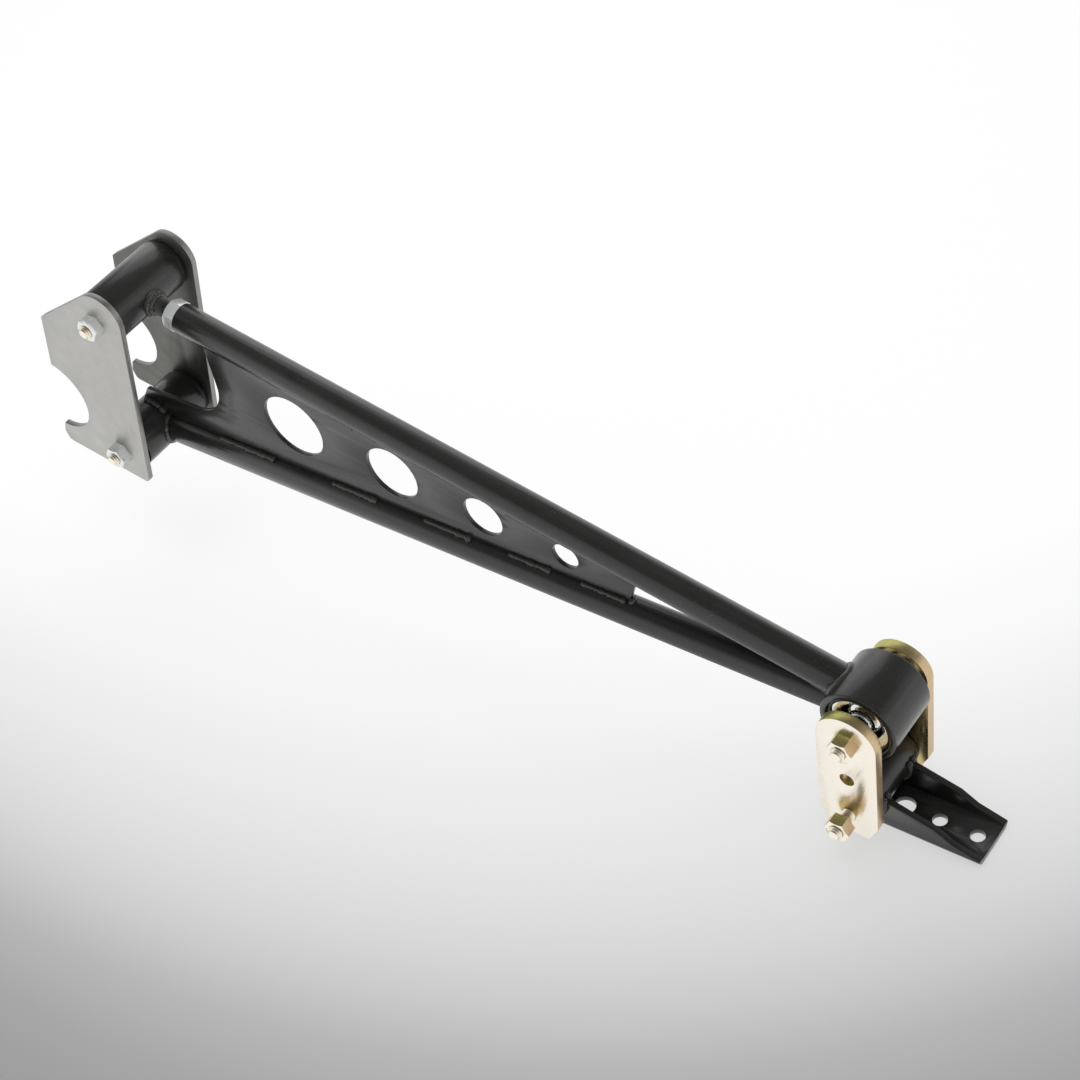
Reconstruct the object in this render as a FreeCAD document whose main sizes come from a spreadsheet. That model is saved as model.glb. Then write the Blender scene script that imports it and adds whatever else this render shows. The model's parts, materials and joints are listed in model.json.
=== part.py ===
"""Ladder-type traction bar: axle plates, two-tube bar, flex joint, shackle and frame bracket.

Frame: the origin is at the centre of the axle seat, midway between the two axle plates.
+X runs along the bar to the flex joint, +Y across the bar from near to far side, +Z up.
All lengths are millimetres and all angles degrees.
"""
import FreeCAD, Part
import math
import os

import Sketcher

App = FreeCAD
doc = App.newDocument("traction_bar")

# Driving dimensions

sheet = doc.addObject("Spreadsheet::Sheet", "sizes")
VALUES = {}


def dimension(name, value):
    """Write one driving dimension into the next row of the sheet."""
    row = len(VALUES) + 1
    sheet.set(f"A{row}", name)
    sheet.set(f"B{row}", str(value))
    sheet.setAlias(f"B{row}", name)
    VALUES[name] = value


# The bar: pivots, tubes and the plate between them
dimension("bar_length", 876)
dimension("upper_pivot_along", 38)
dimension("upper_pivot_rise", 189)
dimension("upper_aim_rise", 7.5)
dimension("lower_aim_drop", 8.5)
dimension("tube_od", 31.75)
dimension("tube_wall", 6.3)
dimension("web_wall", 4.76)
dimension("web_front", 121)
dimension("web_fork_rise", 43)
dimension("web_fork_round", 48)
dimension("web_tip_along", 4)
dimension("web_tip_rise", 47)
dimension("web_tail_back", 9.5)
dimension("web_hole_lift", 2.4)

# Places along the bar as shares of its length, and hole sizes as shares of the web's height there
dimension("web_end_low_share", 0.7055)
dimension("web_end_high_share", 0.7203)
WEB_HOLES = {
    "large": (0.2511, 0.625),
    "upper": (0.3927, 0.669),
    "lower": (0.5177, 0.649),
    "small": (0.6267, 0.579),
}
for hole, (place_share, bore_share) in WEB_HOLES.items():
    dimension(f"web_hole_{hole}_place_share", place_share)
    dimension(f"web_hole_{hole}_bore_share", bore_share)

# The adjustable upper link: threaded stud and jam nut
dimension("tube_start", 64.5)
dimension("stud_od", 19.05)
dimension("stud_reach", 37)
dimension("jam_nut_flats", 28.6)
dimension("jam_nut_height", 13.2)

# The axle plates, as distances from the lower pivot
dimension("plate_wall", 6.35)
dimension("plate_top_back", 47.5)
dimension("plate_top_rise", 170)
dimension("plate_peak_along", 91)
dimension("plate_peak_rise", 261)
dimension("plate_foot_along", 26.5)
dimension("plate_foot_drop", 35)
dimension("plate_heel_back", 85)
dimension("plate_heel_drop", 15)
dimension("plate_hook_back", 88)
dimension("plate_hook_drop", 3)
dimension("plate_tip_back", 83)
dimension("plate_tip_rise", 9.5)
dimension("plate_shoulder_back", 63)
dimension("plate_shoulder_rise", 104)
dimension("plate_crown_round", 28)
dimension("plate_foot_round", 6)
dimension("plate_heel_round", 5)
dimension("plate_tip_round", 2.5)
dimension("seat_back", 77)
dimension("seat_rise", 55.5)
dimension("seat_bore", 92)

# Bushes and sleeves at the axle end
dimension("sleeve_od", 57.15)
dimension("sleeve_wall", 4.76)
dimension("sleeve_length", 90)
dimension("bush_flange_od", 54)
dimension("bush_flange", 6.3)
dimension("bush_barrel", 36)
dimension("bush_clearance", 0.2)
dimension("crush_tube_od", 23)

# Bolts and nuts
dimension("bolt_od", 14.3)
dimension("bolt_fit", 0.1)
dimension("head_flats", 20.6)
dimension("head_height", 9.1)
dimension("nut_flats", 22.2)
dimension("nut_height", 12.3)
dimension("bolt_end", 4.5)
dimension("loose_nut_gap", 10)

# The flex joint
dimension("housing_od", 76.2)
dimension("housing_length", 62.2)
dimension("housing_wall", 6.1)
dimension("race_wall", 5.8)
dimension("race_lip", 3.5)
dimension("race_split", 0.6)
dimension("ball_fit", 0.2)
dimension("ball_neck_wall", 5.8)
dimension("cup_inset", 4.6)
dimension("cup_wall", 2.2)
dimension("cup_dish", 2.6)
dimension("cup_width", 11)
dimension("ring_inset", 2.4)
dimension("ring_wall", 2)
dimension("ring_width", 3.2)
dimension("ring_groove", 1.2)

# The shackle
dimension("shackle_wall", 11)
dimension("shackle_width", 60)
dimension("shackle_pitch", 102)
dimension("shackle_foot", 23)
dimension("shackle_cut_across", 9)
dimension("shackle_cut_up", 19)
dimension("shackle_crown_flat", 0.1)
dimension("shackle_lean", 2.5)
dimension("shackle_clearance", 0.1)

# The frame bracket, as distances from the lower shackle pivot
dimension("bracket_width", 54)
dimension("bracket_wall", 6)
dimension("bracket_back", 28)
dimension("bracket_reach", 117)
dimension("bracket_base_drop", 34.3)
dimension("bracket_top_rise", 5)
dimension("bracket_ramp_along", 34)
dimension("bracket_ramp_rise", 2)
dimension("bracket_kink_along", 72)
dimension("bracket_kink_drop", 8)
dimension("bracket_waist_along", 89.5)
dimension("bracket_waist_drop", 19)
dimension("bracket_toe", 1)
dimension("bracket_bend", 7)
dimension("bracket_hole_big_share", 0.235)
dimension("bracket_hole_mid_share", 0.5385)
dimension("bracket_hole_end_share", 0.8632)
dimension("bracket_hole_big_bore", 20)
dimension("bracket_hole_bore", 14.3)
dimension("bracket_sleeve_od", 44.45)
dimension("bracket_sleeve_wall", 4)
dimension("bracket_sleeve_length", 70)
dimension("bracket_bush_od", 42)
dimension("bracket_bush_flange", 6)
dimension("bracket_bush_barrel", 28)
dimension("edge_break", 0.8)
doc.recompute()


class Size:
    """A length worked out from the sheet: its present value, and the expression that gives it."""

    def __init__(self, value, text):
        self.value = value
        self.text = text

    def __add__(self, other):
        other = plain(other)
        return Size(self.value + other.value, f"({self.text} + {other.text})")

    def __sub__(self, other):
        other = plain(other)
        return Size(self.value - other.value, f"({self.text} - {other.text})")

    def __mul__(self, other):
        other = plain(other)
        return Size(self.value * other.value, f"({self.text} * {other.text})")

    def __truediv__(self, other):
        other = plain(other)
        return Size(self.value / other.value, f"({self.text} / {other.text})")

    def __neg__(self):
        return Size(-self.value, f"(0 - {self.text})")


def plain(number):
    """A bare number as a Size."""
    return number if isinstance(number, Size) else Size(number, str(number))


def size(name):
    return Size(VALUES[name], f"sizes.{name}")


def half(name):
    return size(name) / 2


def cosine(slope):
    """The cosine of an angle whose tangent is slope."""
    return Size(math.cos(math.atan(slope.value)), f"cos(atan({slope.text}))")


def sine(slope):
    return Size(math.sin(math.atan(slope.value)), f"sin(atan({slope.text}))")


def lean_cosine():
    return Size(math.cos(math.radians(VALUES["shackle_lean"])), "cos(sizes.shackle_lean * 1 deg)")


def lean_sine():
    return Size(math.sin(math.radians(VALUES["shackle_lean"])), "sin(sizes.shackle_lean * 1 deg)")


NOWHERE = plain(0)
LENGTH = size("bar_length")

# Slopes of the two tubes: the fall of each axis for a millimetre along the bar
UPPER_FALL = (size("upper_pivot_rise") - size("upper_aim_rise")) / (LENGTH - size("upper_pivot_along"))
LOWER_FALL = size("lower_aim_drop") / LENGTH


def underside(along):
    """Height of the upper tube's lowest line above the lower pivot, at a distance along from it."""
    return (size("upper_pivot_rise") - UPPER_FALL * (plain(along) - size("upper_pivot_along"))
            - half("tube_od") / cosine(UPPER_FALL))


def topside(along):
    """Height of the lower tube's highest line above the lower pivot, at a distance along from it."""
    return half("tube_od") / cosine(LOWER_FALL) - LOWER_FALL * along


# Pivots, along the bar and up from the centre of the axle seat
LOWER = (size("seat_back"), -size("seat_rise"))
JOINT = (LOWER[0] + LENGTH, LOWER[1])
PIVOTS = {
    "lower": LOWER,
    "upper": (LOWER[0] + size("upper_pivot_along"), LOWER[1] + size("upper_pivot_rise")),
    "joint": JOINT,
    "shackle": (JOINT[0] - size("shackle_pitch") * lean_sine(),
                JOINT[1] - size("shackle_pitch") * lean_cosine()),
}
PLATE_INNER = half("sleeve_length") + size("bush_flange") + size("bush_clearance")
PLATE_OUTER = PLATE_INNER + size("plate_wall")
SHACKLE_INNER = half("bracket_sleeve_length") + size("bracket_bush_flange") + size("bush_clearance")
SHACKLE_OUTER = SHACKLE_INNER + size("shackle_wall")
BOLT_HOLE = half("bolt_od") + size("bolt_fit")
HOUSING_BORE = half("housing_od") - size("housing_wall")
HOUSING_FACE = half("housing_length")
BALL_RADIUS = HOUSING_BORE - size("race_wall") - size("ball_fit")

# Directions: the two sides of the bar, and the axes that pieces are turned about
NEAR, FAR = -1, 1
ALONG, ACROSS = (1, 0, 0), (0, 1, 0)

# Building blocks

NODES = []


def bind(item, **sizes):
    """Tie properties of an object to the sheet."""
    for name, value in sizes.items():
        item.setExpression(name, plain(value).text)


def place(item, pivot, across=NOWHERE, axis=None, angle=0):
    """Put an object at a pivot, turned by a fixed angle or by one worked out from the sheet."""
    if axis is not None:
        angle = plain(angle)
        item.Placement.Rotation = App.Rotation(App.Vector(*axis), angle.value)
        item.setExpression("Placement.Rotation.Angle", angle.text)
    along, rise = PIVOTS[pivot] if isinstance(pivot, str) else pivot
    for letter, distance in zip("xyz", (along, across, rise)):
        item.setExpression(f"Placement.Base.{letter}", distance.text)


def node(item, label):
    """Name a finished sub-part."""
    item.Label = label
    NODES.append(item)
    return item


def body(label):
    return node(doc.addObject("PartDesign::Body", label), label)


def sketch_on(part, role, name):
    """A sketch on one of the body's own origin planes."""
    sketch = part.newObject("Sketcher::SketchObject", f"{part.Name}_{name}")
    plane = next(feature for feature in part.Origin.OriginFeatures if feature.Role == role)
    sketch.AttachmentSupport = [(plane, "")]
    sketch.MapMode = "FlatFace"
    return sketch


def hold(sketch, edge, point, across, up):
    """Hold one point of a sketch by its two distances from the sketch's origin."""
    for kind, distance in (("DistanceX", across), ("DistanceY", up)):
        distance = plain(distance)
        index = sketch.addConstraint(Sketcher.Constraint(kind, -1, 1, edge, point, distance.value))
        sketch.setExpression(f"Constraints[{index}]", distance.text)


def outline(sketch, corners):
    """Close straight edges through the corners."""
    points = [App.Vector(plain(x).value, plain(y).value, 0) for x, y in corners]
    count = len(points)
    for k in range(count):
        sketch.addGeometry(Part.LineSegment(points[k], points[(k + 1) % count]), False)
    for k in range(count):
        sketch.addConstraint(Sketcher.Constraint("Coincident", k, 2, (k + 1) % count, 1))
        hold(sketch, k, 1, *corners[k])


def circle(sketch, across, up, radius):
    centre = App.Vector(plain(across).value, plain(up).value, 0)
    radius = plain(radius)
    edge = sketch.addGeometry(Part.Circle(centre, App.Vector(0, 0, 1), radius.value), False)
    hold(sketch, edge, 3, across, up)
    index = sketch.addConstraint(Sketcher.Constraint("Radius", edge, radius.value))
    sketch.setExpression(f"Constraints[{index}]", radius.text)


def pad(part, sketch, length):
    """Raise a sketch to both sides of its plane."""
    feature = part.newObject("PartDesign::Pad", f"{sketch.Name}_pad")
    feature.Profile = sketch
    feature.Midplane = True
    bind(feature, Length=length)
    return feature


def pocket(part, sketch, length):
    """Cut a sketch to both sides of its plane, and make sure that it cut something."""
    doc.recompute()
    before = part.Shape.Volume
    feature = part.newObject("PartDesign::Pocket", f"{sketch.Name}_pocket")
    feature.Profile = sketch
    feature.Midplane = True
    bind(feature, Length=length)
    doc.recompute()
    if part.Shape.Volume >= before:
        raise RuntimeError(f"{sketch.Name} cuts nothing")
    return feature


def turned(part, corners):
    """Revolve an outline, given as radius and place along Y, about the Y axis."""
    sketch = sketch_on(part, "XY_Plane", "profile")
    outline(sketch, corners)
    feature = part.newObject("PartDesign::Revolution", f"{part.Name}_turned")
    feature.Profile = sketch
    feature.ReferenceAxis = (sketch, ["V_Axis"])
    feature.Angle = 360
    return feature


def ring(label, inner, outer, start, end, pivot):
    """A plain ring about a pivot, between two places across the bar."""
    part = body(label)
    turned(part, [(inner, start), (outer, start), (outer, end), (inner, end)])
    place(part, pivot)
    return part


def edges_across(shape, spots):
    """The edges parallel to Y that lie nearest to the given places in the XZ plane."""
    across = []
    for number, edge in enumerate(shape.Edges, start=1):
        first, last = edge.Vertexes[0].Point, edge.Vertexes[-1].Point
        if abs(first.x - last.x) + abs(first.z - last.z) < 1e-4 and abs(first.y - last.y) > 1:
            across.append((first, f"Edge{number}"))
    names = []
    for x, z in spots:
        x, z = plain(x).value, plain(z).value
        names.append(min(across, key=lambda item: math.hypot(item[0].x - x, item[0].z - z))[1])
    return names


def fillet(part, edge_names, radius, kind):
    """Round named edges of the body as it stands."""
    base = part.Tip
    feature = part.newObject("PartDesign::Fillet", f"{part.Name}_{kind}")
    feature.Base = (base, edge_names)
    bind(feature, Radius=radius)
    doc.recompute()


def rounded(part, spots, radius, kind):
    """Round the edges across the part at the given places."""
    doc.recompute()
    fillet(part, edges_across(part.Shape, spots), radius, kind)


def primitive(kind, name, **sizes):
    item = doc.addObject(f"Part::{kind}", name)
    bind(item, **sizes)
    return item


def combined(kind, name, base, tool):
    item = doc.addObject(f"Part::{kind}", name)
    item.Base = base
    item.Tool = tool
    return item


# Bolts and nuts: built along +Z from the face that they bear on

BOLT_TURN = {NEAR: 90, FAR: -90}


def hexagon(name, flats, height):
    """A hexagon whose outer face has its corners turned off at 30 degrees."""
    prism = primitive("Prism", f"{name}_hex", Circumradius=size(flats) / (2 * math.cos(math.pi / 6)),
                      Height=size(height))
    prism.Polygon = 6
    slope = math.tan(math.pi / 3)
    cone = primitive("Cone", f"{name}_cone", Radius1=half(flats) + size(height) * slope,
                     Radius2=half(flats), Height=size(height))
    return combined_common(name, prism, cone)


def combined_common(name, first, second):
    item = doc.addObject("Part::MultiCommon", f"{name}_form")
    item.Shapes = [first, second]
    return item


def bolt(label, pivot, head_side, face, grip):
    """A hex bolt whose head bears on a face and whose shank runs past what it grips and the nut."""
    head = hexagon(label, "head_flats", "head_height")
    length = grip + size("nut_height") + size("bolt_end")
    shank = primitive("Cylinder", f"{label}_shank", Radius=half("bolt_od"), Height=length)
    bind(shank, **{"Placement.Base.z": -length})
    item = node(combined("Fuse", label, head, shank), label)
    place(item, pivot, face * head_side, ALONG, BOLT_TURN[head_side])


def nut(label, flats, height, bore):
    """A hex nut with its bearing face at the origin."""
    form = hexagon(label, flats, height)
    hole = primitive("Cylinder", f"{label}_bore", Radius=bore, Height=size(height))
    return node(combined("Cut", label, form, hole), label)


def bolt_nut(label, pivot, side, face):
    item = nut(label, "nut_flats", "nut_height", BOLT_HOLE)
    place(item, pivot, face * side, ALONG, BOLT_TURN[side])


# Axle plates: laser-cut, with a hooked seat that wraps the axle tube

PLATE_CORNERS = [
    (-size("plate_top_back"), size("plate_top_rise")),
    (size("plate_peak_along"), size("plate_peak_rise")),
    (size("plate_foot_along"), -size("plate_foot_drop")),
    (-size("plate_heel_back"), -size("plate_heel_drop")),
    (-size("plate_hook_back"), -size("plate_hook_drop")),
    (-size("plate_tip_back"), size("plate_tip_rise")),
    (-size("plate_shoulder_back"), size("plate_shoulder_rise")),
]


def axle_plate(label, side):
    part = body(label)
    profile = sketch_on(part, "XZ_Plane", "outline")
    outline(profile, PLATE_CORNERS)
    pad(part, profile, size("plate_wall"))
    rounded(part, [PLATE_CORNERS[1]], size("plate_crown_round"), "crown")
    rounded(part, [PLATE_CORNERS[2]], size("plate_foot_round"), "foot")
    rounded(part, [PLATE_CORNERS[3], PLATE_CORNERS[4]], size("plate_heel_round"), "heel")
    seat = sketch_on(part, "XZ_Plane", "seat")
    circle(seat, -size("seat_back"), size("seat_rise"), half("seat_bore"))
    pocket(part, seat, size("plate_wall") * 2)
    holes = sketch_on(part, "XZ_Plane", "holes")
    circle(holes, NOWHERE, NOWHERE, BOLT_HOLE)
    circle(holes, size("upper_pivot_along"), size("upper_pivot_rise"), BOLT_HOLE)
    pocket(part, holes, size("plate_wall") * 2)
    rounded(part, [PLATE_CORNERS[5]], size("plate_tip_round"), "tip")
    place(part, "lower", (PLATE_INNER + half("plate_wall")) * side)


# Pivots at the axle end: a welded sleeve, two flanged bush halves, a crush tube, a bolt and a nut

SLEEVE_BORE = half("sleeve_od") - size("sleeve_wall")


def bush(label, side, pivot, bore, barrel_radius, barrel, flange_radius, sleeve_end, end):
    """One bush half: a barrel inside the sleeve, and a flange between its end and the plate."""
    part = body(label)
    turned(part, [
        (bore, (sleeve_end - barrel) * side),
        (barrel_radius, (sleeve_end - barrel) * side),
        (barrel_radius, sleeve_end * side),
        (flange_radius, sleeve_end * side),
        (flange_radius, end * side),
        (bore, end * side),
    ])
    place(part, pivot)


def axle_pivot(pivot):
    ring(f"{pivot}_bush_sleeve", SLEEVE_BORE, half("sleeve_od"),
         -half("sleeve_length"), half("sleeve_length"), pivot)
    for name, side in (("near", NEAR), ("far", FAR)):
        bush(f"{pivot}_bush_{name}", side, pivot, half("crush_tube_od"), SLEEVE_BORE,
             size("bush_barrel"), half("bush_flange_od"), half("sleeve_length"),
             PLATE_INNER - size("bush_clearance"))
    ring(f"{pivot}_crush_tube", BOLT_HOLE, half("crush_tube_od"), -PLATE_INNER, PLATE_INNER, pivot)
    bolt(f"{pivot}_pivot_bolt", pivot, FAR, PLATE_OUTER, PLATE_OUTER * 2)
    bolt_nut(f"{pivot}_pivot_nut", pivot, NEAR, PLATE_OUTER)


# Tubes and the upper link

def slope_angle(fall, turn):
    """The angle of a tube's axis, with a quarter turn added or taken away."""
    return Size(turn + math.degrees(math.atan(fall.value)), f"{turn} deg + atan({fall.text})")


def down_slope(pivot, fall, distance):
    """The place at a distance from a pivot along a tube's axis."""
    along, rise = PIVOTS[pivot]
    distance = plain(distance)
    return along + distance * cosine(fall), rise - distance * sine(fall)


def sloped_cylinder(name, radius, start, end, pivot, fall):
    """A cylinder on a tube's axis, between two distances from its pivot."""
    item = primitive("Cylinder", name, Radius=radius, Height=end - start)
    place(item, down_slope(pivot, fall, start), NOWHERE, ACROSS, slope_angle(fall, 90))
    return item


def cross_cylinder(name, radius, length, pivot):
    """A cylinder across the bar, centred on it."""
    item = primitive("Cylinder", name, Radius=radius, Height=length)
    place(item, pivot, length / 2, ALONG, BOLT_TURN[NEAR])
    return item


def coped(label, tube, cutters):
    """A tube whose ends are cut to the pieces that it is welded to."""
    item = tube
    for number, cutter in enumerate(cutters, start=1):
        last = number == len(cutters)
        item = combined("Cut", label if last else f"{label}_cope_{number}", item, cutter)
    return node(item, label)


def lower_tube():
    reach = LENGTH / cosine(LOWER_FALL)
    outer = sloped_cylinder("lower_tube_outer", half("tube_od"), NOWHERE, reach, "lower", LOWER_FALL)
    bore = sloped_cylinder("lower_tube_bore", half("tube_od") - size("tube_wall"), NOWHERE, reach,
                           "lower", LOWER_FALL)
    sleeve = cross_cylinder("lower_tube_sleeve", half("sleeve_od"), size("sleeve_length"), "lower")
    housing = cross_cylinder("lower_tube_housing", half("housing_od"), size("housing_length"), "joint")
    coped("lower_tube", outer, [bore, sleeve, housing])


def upper_tube():
    reach = (LENGTH - size("upper_pivot_along")) / cosine(UPPER_FALL)
    start = size("tube_start")
    outer = sloped_cylinder("upper_tube_outer", half("tube_od"), start, reach, "upper", UPPER_FALL)
    bore = sloped_cylinder("upper_tube_bore", half("tube_od") - size("tube_wall"), start, reach,
                           "upper", UPPER_FALL)
    lower = sloped_cylinder("upper_tube_lower", half("tube_od"), NOWHERE, LENGTH / cosine(LOWER_FALL),
                            "lower", LOWER_FALL)
    housing = cross_cylinder("upper_tube_housing", half("housing_od"), size("housing_length"), "joint")
    coped("upper_tube", outer, [bore, lower, housing])


def link_stud():
    """The threaded stud that is welded to the upper sleeve and screws into the upper tube."""
    end = size("tube_start") + size("stud_reach")
    stud = sloped_cylinder("link_stud_bar", half("stud_od"), NOWHERE, end, "upper", UPPER_FALL)
    sleeve = cross_cylinder("link_stud_sleeve", half("sleeve_od"), size("sleeve_length"), "upper")
    coped("link_stud", stud, [sleeve])
    item = nut("jam_nut", "jam_nut_flats", "jam_nut_height", half("stud_od") + size("bolt_fit"))
    place(item, down_slope("upper", UPPER_FALL, size("tube_start")), NOWHERE, ACROSS,
          slope_angle(UPPER_FALL, -90))


# The web plate between the tubes

def web_plate():
    fork = (size("web_front"), size("web_fork_rise"))
    end_low = LENGTH * size("web_end_low_share")
    end_high = LENGTH * size("web_end_high_share")
    corners = [
        (size("web_front"), underside(size("web_front"))),
        fork,
        (size("web_tip_along"), size("web_tip_rise")),
        (-size("web_tail_back"), half("sleeve_od") - half("sleeve_wall")),
        (NOWHERE, topside(NOWHERE)),
        (end_low, topside(end_low)),
        (end_high, underside(end_high)),
    ]
    part = body("web_plate")
    profile = sketch_on(part, "XZ_Plane", "outline")
    outline(profile, corners)
    pad(part, profile, size("web_wall"))
    rounded(part, [fork], size("web_fork_round"), "fork")
    holes = sketch_on(part, "XZ_Plane", "holes")
    for hole in WEB_HOLES:
        along = LENGTH * size(f"web_hole_{hole}_place_share")
        middle = (underside(along) + topside(along)) / 2 + size("web_hole_lift")
        height = underside(along) - topside(along)
        circle(holes, along, middle, height * size(f"web_hole_{hole}_bore_share") / 2)
    pocket(part, holes, size("web_wall") * 2)
    cope = sketch_on(part, "XZ_Plane", "cope")
    circle(cope, NOWHERE, NOWHERE, half("sleeve_od"))
    pocket(part, cope, size("web_wall") * 2)
    place(part, "lower")


# The flex joint: housing, snap rings, dished washers, races and ball

CUP_OUTER = HOUSING_FACE - size("cup_inset")
RING_OUTER = HOUSING_FACE - size("ring_inset")


def joint_housing():
    part = body("joint_housing")
    outer = half("housing_od")
    edge = size("edge_break")
    groove = HOUSING_BORE + size("ring_groove")
    corners = []
    for side in (NEAR, FAR):
        rim = [
            (HOUSING_BORE, RING_OUTER - size("ring_wall")),
            (groove, RING_OUTER - size("ring_wall")),
            (groove, RING_OUTER),
            (HOUSING_BORE, RING_OUTER),
            (HOUSING_BORE, HOUSING_FACE - edge),
            (HOUSING_BORE + edge, HOUSING_FACE),
            (outer - edge, HOUSING_FACE),
            (outer, HOUSING_FACE - edge),
        ]
        rim = [(radius, across * side) for radius, across in rim]
        corners += rim if side == NEAR else rim[::-1]
    turned(part, corners)
    place(part, "joint")


def joint_race(label, side):
    """Half of the race: a ring with a spherical seat, open to the outside for the ball's neck."""
    part = body(label)
    depth = CUP_OUTER - size("cup_wall") - size("cup_dish")
    mouth_radius = BALL_RADIUS - size("race_lip")
    core = mouth_radius - size("race_wall")
    turned(part, [
        (core, half("race_split") * side),
        (HOUSING_BORE, half("race_split") * side),
        (HOUSING_BORE, depth * side),
        (core, depth * side),
    ])
    seat = part.newObject("PartDesign::SubtractiveSphere", f"{label}_seat")
    bind(seat, Radius=BALL_RADIUS + size("ball_fit"))
    mouth = part.newObject("PartDesign::SubtractiveCylinder", f"{label}_mouth")
    bind(mouth, Radius=mouth_radius, Height=size("housing_length"))
    mouth.Placement.Rotation = App.Rotation(App.Vector(1, 0, 0), BOLT_TURN[NEAR])
    bind(mouth, **{"Placement.Base.y": half("housing_length")})
    place(part, "joint")


def cup_washer(label, side):
    """The dished retaining washer: its outer edge bears under the snap ring."""
    part = body(label)
    inner = HOUSING_BORE - size("cup_width")
    turned(part, [
        (inner, (CUP_OUTER - size("cup_dish") - size("cup_wall")) * side),
        (inner, (CUP_OUTER - size("cup_dish")) * side),
        (HOUSING_BORE, CUP_OUTER * side),
        (HOUSING_BORE, (CUP_OUTER - size("cup_wall")) * side),
    ])
    place(part, "joint")


def joint_ball():
    """The ball with a neck to each side, bored for the bolt."""
    part = body("joint_ball")
    end = SHACKLE_INNER - size("shackle_clearance")
    neck = sketch_on(part, "XZ_Plane", "neck")
    circle(neck, NOWHERE, NOWHERE, BOLT_HOLE + size("ball_neck_wall"))
    pad(part, neck, end * 2)
    ball = part.newObject("PartDesign::AdditiveSphere", "joint_ball_sphere")
    bind(ball, Radius=BALL_RADIUS)
    bore = sketch_on(part, "XZ_Plane", "bore")
    circle(bore, NOWHERE, NOWHERE, BOLT_HOLE)
    pocket(part, bore, end * 4)
    place(part, "joint")


def flex_joint():
    joint_housing()
    for name, side in (("near", NEAR), ("far", FAR)):
        joint_race(f"joint_race_{name}", side)
        cup_washer(f"joint_cup_washer_{name}", side)
        outer = HOUSING_BORE + size("ring_groove")
        ends = sorted((RING_OUTER * side, (RING_OUTER - size("ring_wall")) * side),
                      key=lambda place_across: place_across.value)
        ring(f"joint_snap_ring_{name}", HOUSING_BORE - size("ring_width"), outer, *ends, "joint")
    joint_ball()


# The shackle: two plates clamped to the ball, and the bolts through them

def shackle_plate(label, side):
    part = body(label)
    wide = half("shackle_width")
    foot = size("shackle_pitch") + size("shackle_foot")
    foot_half = wide - size("shackle_cut_across")
    cut_start = foot - size("shackle_cut_up")
    profile = sketch_on(part, "XZ_Plane", "outline")
    outline(profile, [
        (-wide, wide), (wide, wide),
        (wide, -cut_start), (foot_half, -foot),
        (-foot_half, -foot), (-wide, -cut_start),
    ])
    pad(part, profile, size("shackle_wall"))
    rounded(part, [(-wide, wide), (wide, wide)], wide - size("shackle_crown_flat"), "crown")
    holes = sketch_on(part, "XZ_Plane", "holes")
    for share in (0, 0.5, 1):
        circle(holes, NOWHERE, -(size("shackle_pitch") * share), BOLT_HOLE)
    pocket(part, holes, size("shackle_wall") * 2)
    place(part, "joint", (SHACKLE_INNER + half("shackle_wall")) * side, ACROSS, size("shackle_lean"))


def shackle():
    for name, side in (("near", NEAR), ("far", FAR)):
        shackle_plate(f"shackle_plate_{name}", side)
    for name, pivot, gap in (("upper", "joint", NOWHERE), ("lower", "shackle", size("loose_nut_gap"))):
        bolt(f"shackle_{name}_bolt", pivot, FAR, SHACKLE_OUTER, SHACKLE_OUTER * 2 + gap)
        bolt_nut(f"shackle_{name}_nut", pivot, NEAR, SHACKLE_OUTER + gap)
    ring("shackle_crush_tube", BOLT_HOLE, half("crush_tube_od"), -SHACKLE_INNER, SHACKLE_INNER, "shackle")


# The frame bracket: a bent channel with a sleeve welded into its flanges

def frame_bracket():
    part = body("frame_bracket")
    base = -size("bracket_base_drop")
    floor = base + size("bracket_wall")
    profile = sketch_on(part, "XZ_Plane", "outline")
    outline(profile, [
        (-size("bracket_back"), base),
        (size("bracket_reach"), base),
        (size("bracket_reach"), floor + size("bracket_toe")),
        (size("bracket_waist_along"), -size("bracket_waist_drop")),
        (size("bracket_kink_along"), -size("bracket_kink_drop")),
        (size("bracket_ramp_along"), size("bracket_ramp_rise")),
        (half("bracket_sleeve_od"), size("bracket_top_rise")),
        (-size("bracket_back"), size("bracket_top_rise")),
    ])
    pad(part, profile, size("bracket_width"))
    channel = sketch_on(part, "XZ_Plane", "channel")
    outline(channel, [
        (-size("bracket_back") * 2, floor),
        (size("bracket_reach") * 2, floor),
        (size("bracket_reach") * 2, size("bracket_base_drop")),
        (-size("bracket_back") * 2, size("bracket_base_drop")),
    ])
    pocket(part, channel, size("bracket_width") - size("bracket_wall") * 2)
    saddle = sketch_on(part, "XZ_Plane", "saddle")
    circle(saddle, NOWHERE, NOWHERE, half("bracket_sleeve_od"))
    pocket(part, saddle, size("bracket_width") * 2)
    holes = sketch_on(part, "XY_Plane", "holes")
    bores = {"big": "bracket_hole_big_bore", "mid": "bracket_hole_bore", "end": "bracket_hole_bore"}
    for hole, bore in bores.items():
        circle(holes, size("bracket_reach") * size(f"bracket_hole_{hole}_share"), NOWHERE, half(bore))
    pocket(part, holes, size("bracket_base_drop") * 2 + size("bracket_wall"))
    bends = [f"Edge{number}" for number, edge in enumerate(part.Shape.Edges, start=1)
             if all(abs(vertex.Z - base.value) < 1e-4 for vertex in edge.Vertexes)
             and all(abs(abs(vertex.Y) - VALUES["bracket_width"] / 2) < 1e-4 for vertex in edge.Vertexes)
             and edge.Length > VALUES["bracket_reach"]]
    fillet(part, bends, size("bracket_bend"), "bends")
    place(part, "shackle")


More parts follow.
